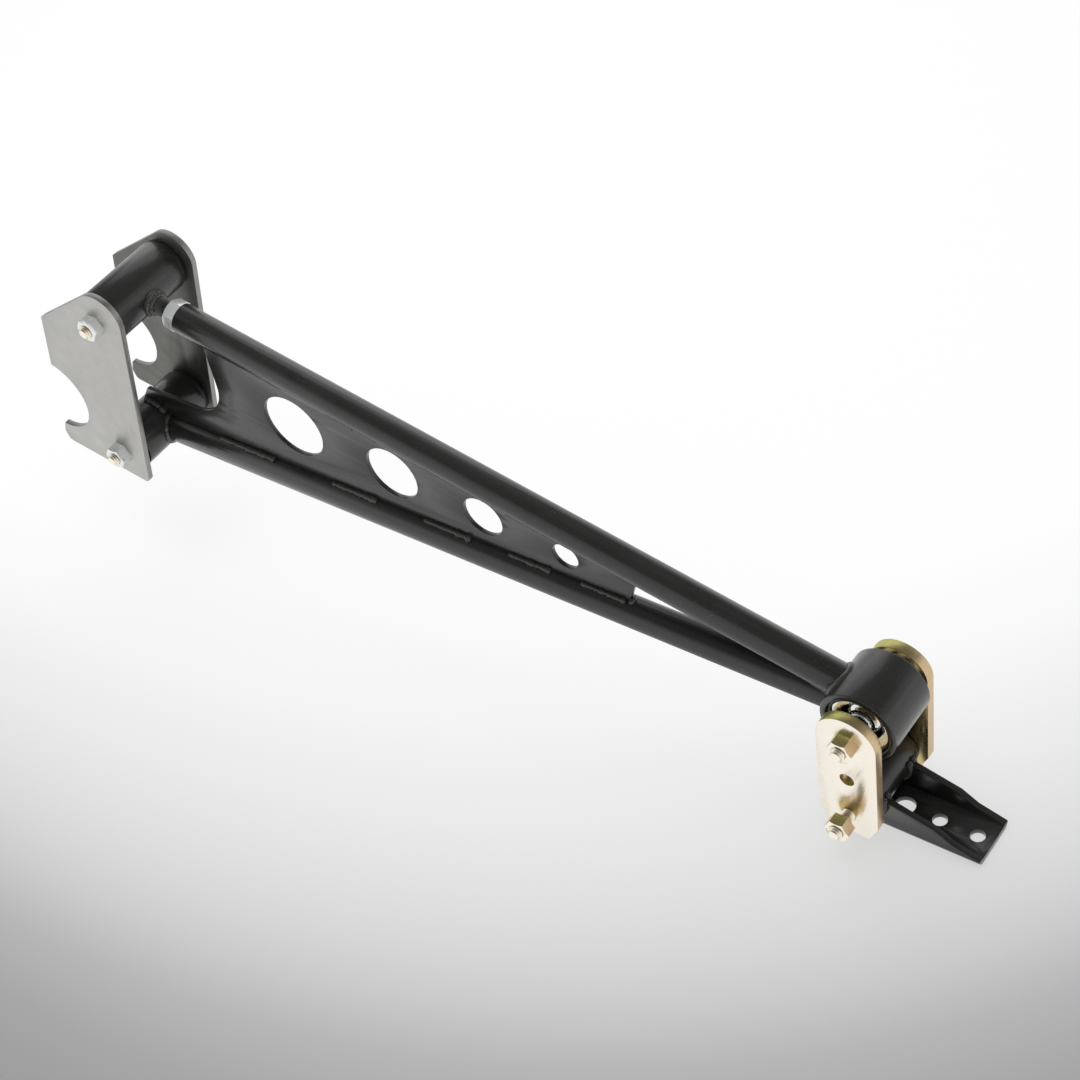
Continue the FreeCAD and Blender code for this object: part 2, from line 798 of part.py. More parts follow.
def bracket_pivot():
    bore = half("bracket_sleeve_od") - size("bracket_sleeve_wall")
    end = half("bracket_sleeve_length")
    ring("bracket_bush_sleeve", bore, half("bracket_sleeve_od"), -end, end, "shackle")
    for name, side in (("near", NEAR), ("far", FAR)):
        bush(f"bracket_bush_{name}", side, "shackle", half("crush_tube_od") + size("bush_clearance"),
             bore, size("bracket_bush_barrel"), half("bracket_bush_od"), end,
             SHACKLE_INNER - size("bush_clearance"))


for bracket_side, plate_side in (("near", NEAR), ("far", FAR)):
    axle_plate(f"axle_plate_{bracket_side}", plate_side)
axle_pivot("upper")
axle_pivot("lower")
upper_tube()
link_stud()
lower_tube()
web_plate()
flex_joint()
shackle()
frame_bracket()
bracket_pivot()
doc.recompute()

# Every object has to be sound before anything is written

for item in doc.Objects:
    if "Invalid" in item.State or "Error" in item.State:
        raise RuntimeError(f"{item.Name} did not build: {item.State}")
for item in NODES:
    if item.Shape.isNull() or not item.Shape.isValid():
        raise RuntimeError(f"{item.Label} has no sound shape")

os.makedirs("parts", exist_ok=True)
for item in NODES:
    item.Shape.exportStep(f"parts/{item.Label}.step")
    print(item.Label, len(item.Shape.Solids), round(item.Shape.Volume))
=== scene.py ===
"""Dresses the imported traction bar: finishes, eased edges, threads, weld beads and a plain stage."""

import json
import math
from functools import cache

import bmesh
import bpy
from mathutils import Matrix, Vector

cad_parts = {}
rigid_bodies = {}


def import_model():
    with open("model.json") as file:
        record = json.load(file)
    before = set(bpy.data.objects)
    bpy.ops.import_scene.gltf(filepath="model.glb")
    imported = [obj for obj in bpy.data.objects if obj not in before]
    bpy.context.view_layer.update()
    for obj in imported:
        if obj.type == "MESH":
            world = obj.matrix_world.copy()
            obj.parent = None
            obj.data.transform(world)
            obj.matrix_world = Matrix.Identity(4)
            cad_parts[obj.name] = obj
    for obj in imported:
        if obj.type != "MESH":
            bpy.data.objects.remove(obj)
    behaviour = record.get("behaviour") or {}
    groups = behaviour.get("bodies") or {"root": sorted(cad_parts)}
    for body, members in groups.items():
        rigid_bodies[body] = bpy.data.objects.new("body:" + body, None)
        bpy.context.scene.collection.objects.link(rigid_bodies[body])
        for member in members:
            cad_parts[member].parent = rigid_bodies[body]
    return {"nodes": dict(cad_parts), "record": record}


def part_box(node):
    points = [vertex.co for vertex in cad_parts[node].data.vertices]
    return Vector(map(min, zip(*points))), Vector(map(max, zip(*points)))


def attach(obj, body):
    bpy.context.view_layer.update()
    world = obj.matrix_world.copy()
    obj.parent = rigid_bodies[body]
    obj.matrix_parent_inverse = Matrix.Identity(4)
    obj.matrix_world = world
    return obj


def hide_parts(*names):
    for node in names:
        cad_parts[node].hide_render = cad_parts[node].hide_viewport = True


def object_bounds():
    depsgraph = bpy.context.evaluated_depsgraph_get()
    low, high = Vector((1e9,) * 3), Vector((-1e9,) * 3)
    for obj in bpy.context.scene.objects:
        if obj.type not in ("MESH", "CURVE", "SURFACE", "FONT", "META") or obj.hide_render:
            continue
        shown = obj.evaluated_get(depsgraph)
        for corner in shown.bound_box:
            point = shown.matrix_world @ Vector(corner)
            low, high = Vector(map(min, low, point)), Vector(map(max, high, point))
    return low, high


bl_info = {
    "name": "Traction Bar",
    "version": (1, 0, 0),
    "blender": (4, 5, 0),
    "location": "3D View > Sidebar > Traction Bar",
    "description": "Dresses the packed traction bar with its finishes, threads, weld beads and stage",
    "category": "Object",
}

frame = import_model()
CAD_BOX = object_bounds()

MM = 0.001
NEAR, FAR = -1, 1
SIDES = (("near", NEAR), ("far", FAR))
SHARP_ANGLE = math.radians(32)


def middle(node):
    """The centre of a CAD node's box."""
    low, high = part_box(node)
    return (low + high) / 2


def half_height(node):
    """Half of a CAD node's height: the radius of one that is round about Y."""
    low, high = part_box(node)
    return (high.z - low.z) / 2


def half_width(node):
    """Half of a CAD node's width across the bar."""
    low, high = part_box(node)
    return (high.y - low.y) / 2


PIVOTS = {
    "upper": middle("upper_bush_sleeve"),
    "lower": middle("lower_bush_sleeve"),
    "joint": middle("joint_housing"),
    "shackle": middle("bracket_bush_sleeve"),
}


# Sizes and colours that a user would change

def length(name, text, default):
    """A property for a length in metres, given in millimetres."""
    return bpy.props.FloatProperty(name=name, description=text, default=default * MM, subtype="DISTANCE",
                                   unit="LENGTH", precision=5)


def share(name, text, default):
    return bpy.props.FloatProperty(name=name, description=text, default=default, min=0.0, max=1.0,
                                   subtype="FACTOR")


def colour(name, text, default):
    return bpy.props.FloatVectorProperty(name=name, description=text, default=default, min=0.0, max=1.0,
                                         size=3, subtype="COLOR")


class TractionBarSizes(bpy.types.PropertyGroup):
    """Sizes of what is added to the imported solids"""
    plate_ease: length("Plate edge", "Width that plate edges are eased by", 0.45)
    turned_ease: length("Turned edge", "Width that edges of sleeves and the housing are eased by", 0.3)
    fastener_ease: length("Fastener edge", "Width that nut and bolt head edges are eased by", 0.25)
    lip_round: length("Bush lip", "Radius of the moulded lip of a bush", 1.6)
    bead_radius: length("Sleeve bead", "Radius of the weld beads round the sleeves", 3.4)
    stitch_radius: length("Stitch bead", "Radius of the stitch welds along the web", 3.3)
    ripple_pitch: length("Ripple pitch", "Distance between the ripples of a weld bead", 2.1)
    bolt_pitch: length("Bolt pitch", "Pitch of the bolts' threads", 2.1167)
    stud_pitch: length("Stud pitch", "Pitch of the link stud's thread", 1.5875)


class TractionBarFinishes(bpy.types.PropertyGroup):
    """Colours and gloss of the finishes"""
    steel: colour("Plate steel", "Bare steel of the axle plates", (0.53, 0.525, 0.50))
    # Painted shade: the colour of the axle plates' inner faces, darkened where the plates shade each other
    steel_painted_shade: colour("Inner steel", "Painted shade on the inner faces of the axle plates",
                        (0.15, 0.15, 0.138))
    steel_cut: colour("Cut steel", "Laser-cut edge of the axle plates", (0.30, 0.295, 0.28))
    coat: colour("Powder coat", "Gloss black powder coat", (0.0130, 0.0130, 0.0122))
    coat_roughness: share("Coat roughness", "Roughness of the powder coat", 0.31)
    bright_zinc: colour("Bright zinc", "Bright zinc plate", (0.90, 0.91, 0.92))
    yellow_zinc: colour("Yellow zinc", "Yellow zinc plate on flat faces", (0.95, 0.905, 0.815))
    yellow_zinc_edge: colour("Yellow zinc edge", "Yellow zinc plate on cut edges", (0.60, 0.53, 0.21))
    # Painted shade: the colour of yellow zinc faces turned towards the bar's middle
    yellow_zinc_painted_shade: colour("Yellow zinc inside", "Painted shade on inner faces of yellow zinc", (0.66, 0.52, 0.26))
    rubber: colour("Bush", "Moulded polyurethane", (0.012, 0.012, 0.012))


class TractionBarStage(bpy.types.PropertyGroup):
    """Camera, lamps and floor"""
    lens: bpy.props.FloatProperty(name="Lens", description="Focal length of the camera in millimetres",
                                  default=74.95, min=10.0, max=300.0, unit="CAMERA")
    camera_place: bpy.props.FloatVectorProperty(name="Camera", description="Place of the camera",
                                                default=(1.66737, -1.09042, 1.46707), subtype="XYZ",
                                                unit="LENGTH")
    camera_right: bpy.props.FloatVectorProperty(name="Camera right", description="Its direction to the right",
                                                default=(0.80485, 0.57091, -0.16210), subtype="DIRECTION")
    camera_up: bpy.props.FloatVectorProperty(name="Camera up", description="Its upward direction",
                                             default=(-0.31355, 0.64097, 0.70061), subtype="DIRECTION")
    key_power: bpy.props.FloatProperty(name="Key lamp", description="Power of the overhead lamp in watts",
                                       default=46.0, min=0.0, subtype="POWER", unit="POWER")
    side_power: bpy.props.FloatProperty(name="Side lamp", description="Power of the side lamp in watts",
                                        default=9.0, min=0.0, subtype="POWER", unit="POWER")
    shadow_share: share("Shadow share", "Share of the floor's own shading that the camera sees", 0.2)


# Node graphs

class Graph:
    """A node tree under construction."""

    def __init__(self, tree):
        self.tree = tree

    def add(self, kind, inputs=None, **settings):
        node = self.tree.nodes.new(kind)
        for name, value in settings.items():
            setattr(node, name, value)
        for name, value in (inputs or {}).items():
            self.feed(node.inputs[name], value)
        return node

    def feed(self, socket, value):
        if isinstance(value, bpy.types.NodeSocket):
            self.tree.links.new(value, socket)
        else:
            socket.default_value = value

    def math(self, operation, *values, clamp=False):
        """One Math node."""
        return self.add("ShaderNodeMath", dict(enumerate(values)), operation=operation,
                        use_clamp=clamp).outputs[0]

    def plus(self, first, second, clamp=False):
        return self.math("ADD", first, second, clamp=clamp)

    def minus(self, first, second):
        return self.math("SUBTRACT", first, second)

    def times(self, first, second):
        return self.math("MULTIPLY", first, second)

    def spread(self, value, from_low, from_high, to_low=0.0, to_high=1.0):
        """Map a range of values onto another, held at its ends."""
        return self.add("ShaderNodeMapRange", {"Value": value, "From Min": from_low, "From Max": from_high,
                                               "To Min": to_low, "To Max": to_high}).outputs["Result"]

    def mix(self, share_of_second, first, second):
        node = self.add("ShaderNodeMix", data_type="RGBA")
        self.feed(node.inputs[0], share_of_second)
        self.feed(node.inputs[6], first)
        self.feed(node.inputs[7], second)
        return node.outputs[2]

    def noise(self, vector, scale, detail=2.0, roughness=0.5):
        return self.add("ShaderNodeTexNoise", {"Vector": vector, "Scale": scale, "Detail": detail,
                                               "Roughness": roughness}).outputs["Fac"]


def group(name, kind, inputs, outputs):
    """A node group with named sockets; each input is (name, socket type, default)."""
    tree = bpy.data.node_groups.new(name, kind)
    for socket_name, socket_type, default in inputs:
        socket = tree.interface.new_socket(socket_name, in_out="INPUT", socket_type=socket_type)
        if default is not None:
            socket.default_value = default
    for socket_name, socket_type in outputs:
        tree.interface.new_socket(socket_name, in_out="OUTPUT", socket_type=socket_type)
    graph = Graph(tree)
    return graph, graph.add("NodeGroupInput").outputs, graph.add("NodeGroupOutput").inputs


def mottle_group():
    """Soft clouds between two colours, with a finer cloud inside them."""
    graph, given, out = group("Mottle", "ShaderNodeTree", [
        ("Vector", "NodeSocketVector", None),
        ("Scale", "NodeSocketFloat", 10.0),
        ("Contrast", "NodeSocketFloat", 0.5),
        ("Light", "NodeSocketColor", (1, 1, 1, 1)),
        ("Dark", "NodeSocketColor", (0, 0, 0, 1)),
    ], [("Color", "NodeSocketColor"), ("Mask", "NodeSocketFloat")])
    broad = graph.noise(given["Vector"], given["Scale"], 3.0, 0.55)
    fine = graph.noise(given["Vector"], graph.times(given["Scale"], 7.3), 2.0)
    cloud = graph.plus(graph.times(broad, 0.75), graph.times(fine, 0.25))
    low = graph.minus(0.5, graph.times(given["Contrast"], 0.25))
    high = graph.plus(0.5, graph.times(given["Contrast"], 0.25))
    mask = graph.spread(cloud, low, high)
    graph.feed(out["Mask"], mask)
    graph.feed(out["Color"], graph.mix(mask, given["Light"], given["Dark"]))
    return graph.tree


def grain_group():
    """Fine surface grain: a varied roughness and a height for a bump."""
    graph, given, out = group("Grain", "ShaderNodeTree", [
        ("Vector", "NodeSocketVector", None),
        ("Scale", "NodeSocketFloat", 800.0),
        ("Roughness", "NodeSocketFloat", 0.4),
        ("Swing", "NodeSocketFloat", 0.1),
    ], [("Roughness", "NodeSocketFloat"), ("Height", "NodeSocketFloat")])
    fine = graph.noise(given["Vector"], given["Scale"], 2.0)
    slow = graph.noise(given["Vector"], graph.times(given["Scale"], 0.06), 2.0)
    both = graph.plus(graph.times(fine, 0.4), graph.times(slow, 0.6))
    swing = graph.times(graph.minus(both, 0.5), graph.times(given["Swing"], 4.0))
    graph.feed(out["Roughness"], graph.plus(given["Roughness"], swing, clamp=True))
    graph.feed(out["Height"], fine)
    return graph.tree


def specks_group():
    """Scattered small specks, such as dust on paint or pits in plating."""
    graph, given, out = group("Specks", "ShaderNodeTree", [
        ("Vector", "NodeSocketVector", None),
        ("Scale", "NodeSocketFloat", 300.0),
        ("Amount", "NodeSocketFloat", 0.15),
    ], [("Mask", "NodeSocketFloat")])
    cells = graph.add("ShaderNodeTexVoronoi", {"Vector": given["Vector"], "Scale": given["Scale"]})
    patch = graph.noise(given["Vector"], graph.times(given["Scale"], 0.08), 2.0)
    reach = graph.times(graph.spread(patch, 0.42, 0.68), given["Amount"])
    graph.feed(out["Mask"], graph.math("LESS_THAN", cells.outputs["Distance"], reach))
    return graph.tree


def faces_group():
    """Tell the flat faces of a plate across the bar from its cut edges, in the object's own axes."""
    graph, given, out = group("Faces and edges", "ShaderNodeTree", [
        ("Normal", "NodeSocketVector", None),
        ("Vector", "NodeSocketVector", None),
        ("Streaks", "NodeSocketFloat", 700.0),
    ], [(name, "NodeSocketFloat") for name in ("Edge", "Streak", "Turn", "Inner")])
    axes = graph.add("ShaderNodeSeparateXYZ", {"Vector": given["Normal"]})
    place = graph.add("ShaderNodeSeparateXYZ", {"Vector": given["Vector"]})
    # Inner: a mask of the faces turned towards the bar's middle, used for painted shade
    inward = graph.times(axes.outputs["Y"], place.outputs["Y"])
    graph.feed(out["Inner"], graph.spread(inward, -0.005, -0.03))
    face = graph.math("ABSOLUTE", axes.outputs["Y"])
    graph.feed(out["Edge"], graph.spread(face, 0.75, 0.45))
    stretched = graph.add("ShaderNodeVectorMath", {0: given["Vector"], 1: (1.0, 0.06, 1.0)},
                          operation="MULTIPLY").outputs[0]
    graph.feed(out["Streak"], graph.noise(stretched, given["Streaks"], 1.0))
    graph.feed(out["Turn"], axes.outputs["X"])
    return graph.tree


GROUPS = {"mottle": mottle_group, "grain": grain_group, "specks": specks_group, "faces": faces_group}


@cache
def effect(name):
    """The group of a shared effect, built the first time that it is asked for."""
    return GROUPS[name]()


def shared(graph, name, **inputs):
    """Place a shared effect, and feed its inputs."""
    node = graph.add("ShaderNodeGroup")
    node.node_tree = effect(name)
    for socket_name, value in inputs.items():
        graph.feed(node.inputs[socket_name.replace("_", " ").title()], value)
    return node.outputs


def rgba(value):
    return (*value, 1.0)


def started(name, constants):
    """A new material: its graph, its Principled shader, and the object's own coordinates and normal."""
    material = bpy.data.materials.new(name)
    material.use_nodes = True
    graph = Graph(material.node_tree)
    shader = material.node_tree.nodes["Principled BSDF"]
    for socket_name, value in constants.items():
        shader.inputs[socket_name].default_value = value
    coordinates = graph.add("ShaderNodeTexCoord").outputs
    return material, graph, shader.inputs, coordinates["Object"], coordinates["Normal"]


def bumped(graph, sockets, height, strength, distance):
    """Raise the shader's surface by a height, over a distance in millimetres."""
    bump = graph.add("ShaderNodeBump", {"Height": height, "Strength": strength,
                                                "Distance": distance * MM})
    graph.feed(sockets["Normal"], bump.outputs["Normal"])


def clouded(graph, place, scale, contrast, light, dark):
    """Clouds of two colours; the light one may be a socket that holds other clouds."""
    light = light if isinstance(light, bpy.types.NodeSocket) else rgba(light)
    return shared(graph, "mottle", vector=place, scale=scale, contrast=contrast, light=light,
                  dark=rgba(dark))["Color"]


def grained(graph, sockets, place, scale, roughness, swing):
    """Give the shader an uneven roughness, and return the height of its grain."""
    grain = shared(graph, "grain", vector=place, scale=scale, roughness=roughness, swing=swing)
    graph.feed(sockets["Roughness"], grain["Roughness"])
    return grain["Height"]


def steel_plate(look):
    """Bare plate: rolled faces with faint clouds and handling marks, painted shade on the inner faces, darker
    striped edges.
    """
    material, graph, sockets, place, normal = started("Steel plate", {"Metallic": 0.9})
    steel, cut = Vector(look.steel), Vector(look.steel_cut)
    sides = shared(graph, "faces", normal=normal, vector=place, streaks=900.0)
    face = clouded(graph, place, 13.0, 0.9, steel * 1.06, steel * 0.9)
    smudge = clouded(graph, place, 55.0, 0.5, face, steel * 0.96)
    edge = graph.mix(sides["Streak"], rgba(cut * 0.8), rgba(cut * 1.25))
    pits = shared(graph, "specks", vector=place, scale=420.0, amount=0.2)
    # Painted shade: faces turned towards the bar's middle take the darker inner colour
    rolled = graph.mix(sides["Inner"], smudge, rgba(look.steel_painted_shade))
    clean = graph.mix(sides["Edge"], rolled, edge)
    graph.feed(sockets["Base Color"], graph.mix(graph.times(pits["Mask"], 0.3), clean, rgba(cut)))
    grain = grained(graph, sockets, place, 1100.0, 0.46, 0.1)
    striped = graph.times(sides["Streak"], sides["Edge"])
    height = graph.plus(graph.times(grain, 0.35), graph.times(striped, 1.6))
    bumped(graph, sockets, height, 0.35, 0.12)
    return material


DUST = (0.12, 0.115, 0.105)


def powder_coat(look, name="Black powder coat", glint_lift=1.0, smoother=0.0):
    """Satin black powder coat: a shallow orange peel, with a little dust; a lift above 1 paints it lighter as
    a painted highlight.
    """
    material, graph, sockets, place, _ = started(name, {"IOR": 1.5, "Coat Weight": 0.25,
                                                        "Coat Roughness": 0.12})
    # A lift above 1 paints the coat lighter: a painted highlight
    coat = Vector(look.coat) * glint_lift
    tone = clouded(graph, place, 22.0, 0.8, coat * 1.25, coat * 0.8)
    dust = shared(graph, "specks", vector=place, scale=330.0, amount=0.17)
    graph.feed(sockets["Base Color"], graph.mix(graph.times(dust["Mask"], 0.5), tone, rgba(DUST)))
    grain = grained(graph, sockets, place, 420.0, look.coat_roughness - smoother, 0.07)
    bumped(graph, sockets, grain, 0.12, 0.2)
    return material


def zinc_plate(name, clear, cloudy, roughness, metallic=1.0):
    """Bright plating: slightly clouded, with fine drawn grain."""
    material, graph, sockets, place, _ = started(name, {"Metallic": metallic})
    graph.feed(sockets["Base Color"], clouded(graph, place, 70.0, 1.2, clear, cloudy))
    bumped(graph, sockets, grained(graph, sockets, place, 1500.0, roughness, 0.08), 0.15, 0.1)
    return material


def yellow_zinc(look):
    """Yellow zinc: pale straw faces that cloud to rose, olive and gold on the cut edges, with painted shade
    on the inner faces and painted shading on the cut edges by the way they face.
    """
    material, graph, sockets, place, normal = started("Yellow zinc plate", {"Metallic": 1.0})
    pale, edge = Vector(look.yellow_zinc), Vector(look.yellow_zinc_edge)
    sides = shared(graph, "faces", normal=normal, vector=place, streaks=650.0)
    rose, straw = (pale.x, pale.y * 0.95, pale.z), (pale.x, pale.y, pale.z * 0.86)
    bloom = clouded(graph, place, 40.0, 1.6, clouded(graph, place, 15.0, 1.2, rose, straw), pale)
    # Painted shading: cut edges facing -X are painted darker and more olive, those facing +X lighter and more
    # bronze
    olive = rgba((edge.x * 0.78, edge.y * 0.86, edge.z * 0.7))
    bronze = rgba((edge.x * 1.08, edge.y * 0.86, edge.z * 1.5))
    facing_shade = graph.mix(graph.spread(sides["Turn"], -0.3, 0.75), olive, bronze)
    streaked = graph.mix(graph.times(sides["Streak"], 0.5), facing_shade, rgba(edge * 1.15))
    # Painted shade: faces turned towards the bar's middle take the darker inside colour
    flat = graph.mix(sides["Inner"], bloom, rgba(look.yellow_zinc_painted_shade))
    graph.feed(sockets["Base Color"], graph.mix(sides["Edge"], flat, streaked))
    grain = shared(graph, "grain", vector=place, scale=1300.0, roughness=0.27, swing=0.1)
    graph.feed(sockets["Roughness"], graph.plus(grain["Roughness"], graph.times(sides["Edge"], 0.16)))
    height = graph.plus(graph.times(grain["Height"], 0.3), graph.times(sides["Streak"], sides["Edge"]))
    bumped(graph, sockets, height, 0.25, 0.1)
    return material


def moulded(name, tone, roughness):
    """A moulded part: satin, with a fine texture."""
    material, graph, sockets, place, _ = started(name, {"IOR": 1.5})
    base = Vector(tone)
    graph.feed(sockets["Base Color"], clouded(graph, place, 60.0, 0.8, base * 1.3, base * 0.8))
    bumped(graph, sockets, grained(graph, sockets, place, 1200.0, roughness, 0.1), 0.2, 0.1)
    return material


FINISHES = {
    "mill_steel": steel_plate,
    "black_powder_coat": powder_coat,
    # The coat over welds is painted 2.2 times lighter, a painted highlight standing in for glints, and is
    # smoother
    "weld_coat": lambda look: powder_coat(look, "Black powder coat over welds", 2.2, 0.12),
    "black_polyurethane": lambda look: moulded("Black polyurethane", look.rubber, 0.38),
    "bright_zinc": lambda look: zinc_plate("Bright zinc plate", look.bright_zinc,
                                           Vector(look.bright_zinc) * 0.92, 0.22, 0.7),
    "yellow_zinc": yellow_zinc,
    "plain_steel": lambda look: zinc_plate("Drawn steel", (0.42, 0.42, 0.41), (0.34, 0.34, 0.33), 0.36),
    "race_polymer": lambda look: moulded("Race polymer", (0.05, 0.05, 0.05), 0.5),
    "polished_steel": lambda look: zinc_plate("Polished steel", (0.82, 0.83, 0.84),
                                              (0.72, 0.73, 0.74), 0.09),
    "dark_spring_steel": lambda look: zinc_plate("Dark spring steel", (0.07, 0.07, 0.07),
                                                 (0.045, 0.045, 0.045), 0.34),
}
SLOTS = {part["node"]: part["material_slot"] for part in frame["record"]["subparts"]}
BODIES = {node: body for body, nodes in frame["record"]["behaviour"]["bodies"].items() for node in nodes}


@cache
def finish(slot):
    """The material of a slot, made the first time that it is asked for."""
    return FINISHES[slot](bpy.context.scene.traction_finishes)


# Pieces

def linked(name, data):
    """A new object in the scene."""
    item = bpy.data.objects.new(name, data)
    bpy.context.scene.collection.objects.link(item)
    return item


def piece(name, mesh, node, replaced=(), material=None):
    """Put a finished mesh into the scene, on the body and with the finish of a CAD node."""
    mesh.materials.clear()
    mesh.materials.append(material or finish(SLOTS[node]))
    item = linked(name, mesh)
    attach(item, BODIES[node])
    if replaced:
        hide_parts(*replaced)
    return item


def mesh_of(form, name):
    """A smooth-shaded mesh from a bmesh, with sharp edges where faces meet at a clear angle."""
    mesh = bpy.data.meshes.new(name)
    form.to_mesh(mesh)
    form.free()
    mesh.shade_smooth()
    mesh.set_sharp_from_angle(angle=SHARP_ANGLE)
    return mesh


WELD_TOGETHER = 0.005 * MM
FLAT_ANGLE = math.radians(0.4)


def eased(node, width):
    """Stand a merged copy in for a CAD node, with its sharp edges eased."""
    form = bmesh.new()
    form.from_mesh(frame["nodes"][node].data)
    bmesh.ops.remove_doubles(form, verts=form.verts, dist=WELD_TOGETHER)
    bmesh.ops.dissolve_limit(form, angle_limit=FLAT_ANGLE, verts=form.verts, edges=form.edges)
    mesh = bpy.data.meshes.new(node)
    form.to_mesh(mesh)
    form.free()
    mesh.shade_smooth()
    item = piece(f"{node}_eased", mesh, node, [node])
    bevel = item.modifiers.new("Eased edges", "BEVEL")
    bevel.width = width
    bevel.segments = 2
    bevel.limit_method = "ANGLE"
    bevel.angle_limit = SHARP_ANGLE
    bevel.harden_normals = True
    return item


def coated(node):
    """Give a CAD node that shows as it is the finish of its slot."""
    mesh = frame["nodes"][node].data
    mesh.materials.clear()
    mesh.materials.append(finish(SLOTS[node]))


def placed(points, centre, side):
    """Stand points that are built along +Z on a side of the bar, at a centre."""
    turn = Matrix.Rotation(math.radians(90 if side == NEAR else -90), 4, "X")
    return [Vector(centre) + turn @ Vector(point) for point in points]


def skinned(rings, closed=False):
    """A form through rings of equal count: capped at both ends, or closed on itself."""
    form = bmesh.new()
    loops = [[form.verts.new(point) for point in ring] for ring in rings]
    pairs = list(zip(loops, loops[1:]))
    if closed:
        pairs.append((loops[-1], loops[0]))
    else:
        form.faces.new(reversed(loops[0]))
        form.faces.new(loops[-1])
    for first, second in pairs:
        for k in range(len(first)):
            after = (k + 1) % len(first)
            form.faces.new((first[k], first[after], second[after], second[k]))
    bmesh.ops.recalc_face_normals(form, faces=form.faces)
    return form


ROUND_STEPS = 96


def ring(height, radius):
    """Points round the Z axis; a radius that is a function gives the radius and height at each angle."""
    points = []
    for step in range(ROUND_STEPS):
        turn = math.tau * step / ROUND_STEPS
        reach, lift = radius(turn) if callable(radius) else (radius, height)
        points.append((reach * math.cos(turn), reach * math.sin(turn), lift))
    return points


def hexagon(flats, height, inner, sign):
    """The outline of a hexagon whose corners are turned off at 30 degrees from an inner circle."""
    def at(turn):
        off = (turn + math.pi / 6) % (math.pi / 3) - math.pi / 6
        reach = flats / 2 / math.cos(off)
        return reach, height - sign * max(0.0, reach - inner) * math.tan(math.radians(30))
    return at


def lathed(name, profile, centre, node, replaced=()):
    """A closed profile of (radius, place across the bar), turned about the Y axis at a centre."""
    rings = []
    for radius, across in profile:
        rings.append([Vector((centre.x + radius * math.cos(math.tau * k / ROUND_STEPS), centre.y + across,
                              centre.z + radius * math.sin(math.tau * k / ROUND_STEPS)))
                      for k in range(ROUND_STEPS)])
    return piece(name, mesh_of(skinned(rings, closed=True), name), node, replaced)


def rounded(corners, steps=4):
    """Round the corners of a closed profile; each corner is (radius, across, rounding)."""
    points = []
    for k, (x, y, round_by) in enumerate(corners):
        corner = Vector((x, y))
        if not round_by:
            points.append((x, y))
            continue
        before = (Vector(corners[k - 1][:2]) - corner).normalized()
        after = (Vector(corners[(k + 1) % len(corners)][:2]) - corner).normalized()
        for step in range(steps + 1):
            part = step / steps
            start, end = corner + before * round_by, corner + after * round_by
            point = start * (1 - part) ** 2 + corner * 2 * part * (1 - part) + end * part ** 2
            points.append(tuple(point))
    return points


# Geometry Nodes: threads and weld beads

def baked(item, name):
    """The evaluated mesh of an object with a modifier, which is then removed."""
    evaluated = item.evaluated_get(bpy.context.evaluated_depsgraph_get())
    mesh = bpy.data.meshes.new_from_object(evaluated, preserve_all_data_layers=True,
                                           depsgraph=bpy.context.evaluated_depsgraph_get())
    mesh.name = name
    bpy.data.objects.remove(item)
    return mesh


def grown(tree, base, name, **inputs):
    """Run a geometry tree on a mesh of paths and return what it makes as a plain mesh."""
    item = linked(name, base)
    modifier = item.modifiers.new(tree.name, "NODES")
    modifier.node_group = tree
    sockets = {socket.name: socket.identifier for socket in tree.interface.items_tree
               if socket.item_type == "SOCKET" and socket.in_out == "INPUT"}
    for socket_name, value in inputs.items():
        modifier[sockets[socket_name.replace("_", " ").capitalize()]] = value
    item.update_tag()
    bpy.context.view_layer.update()
    return baked(item, name)


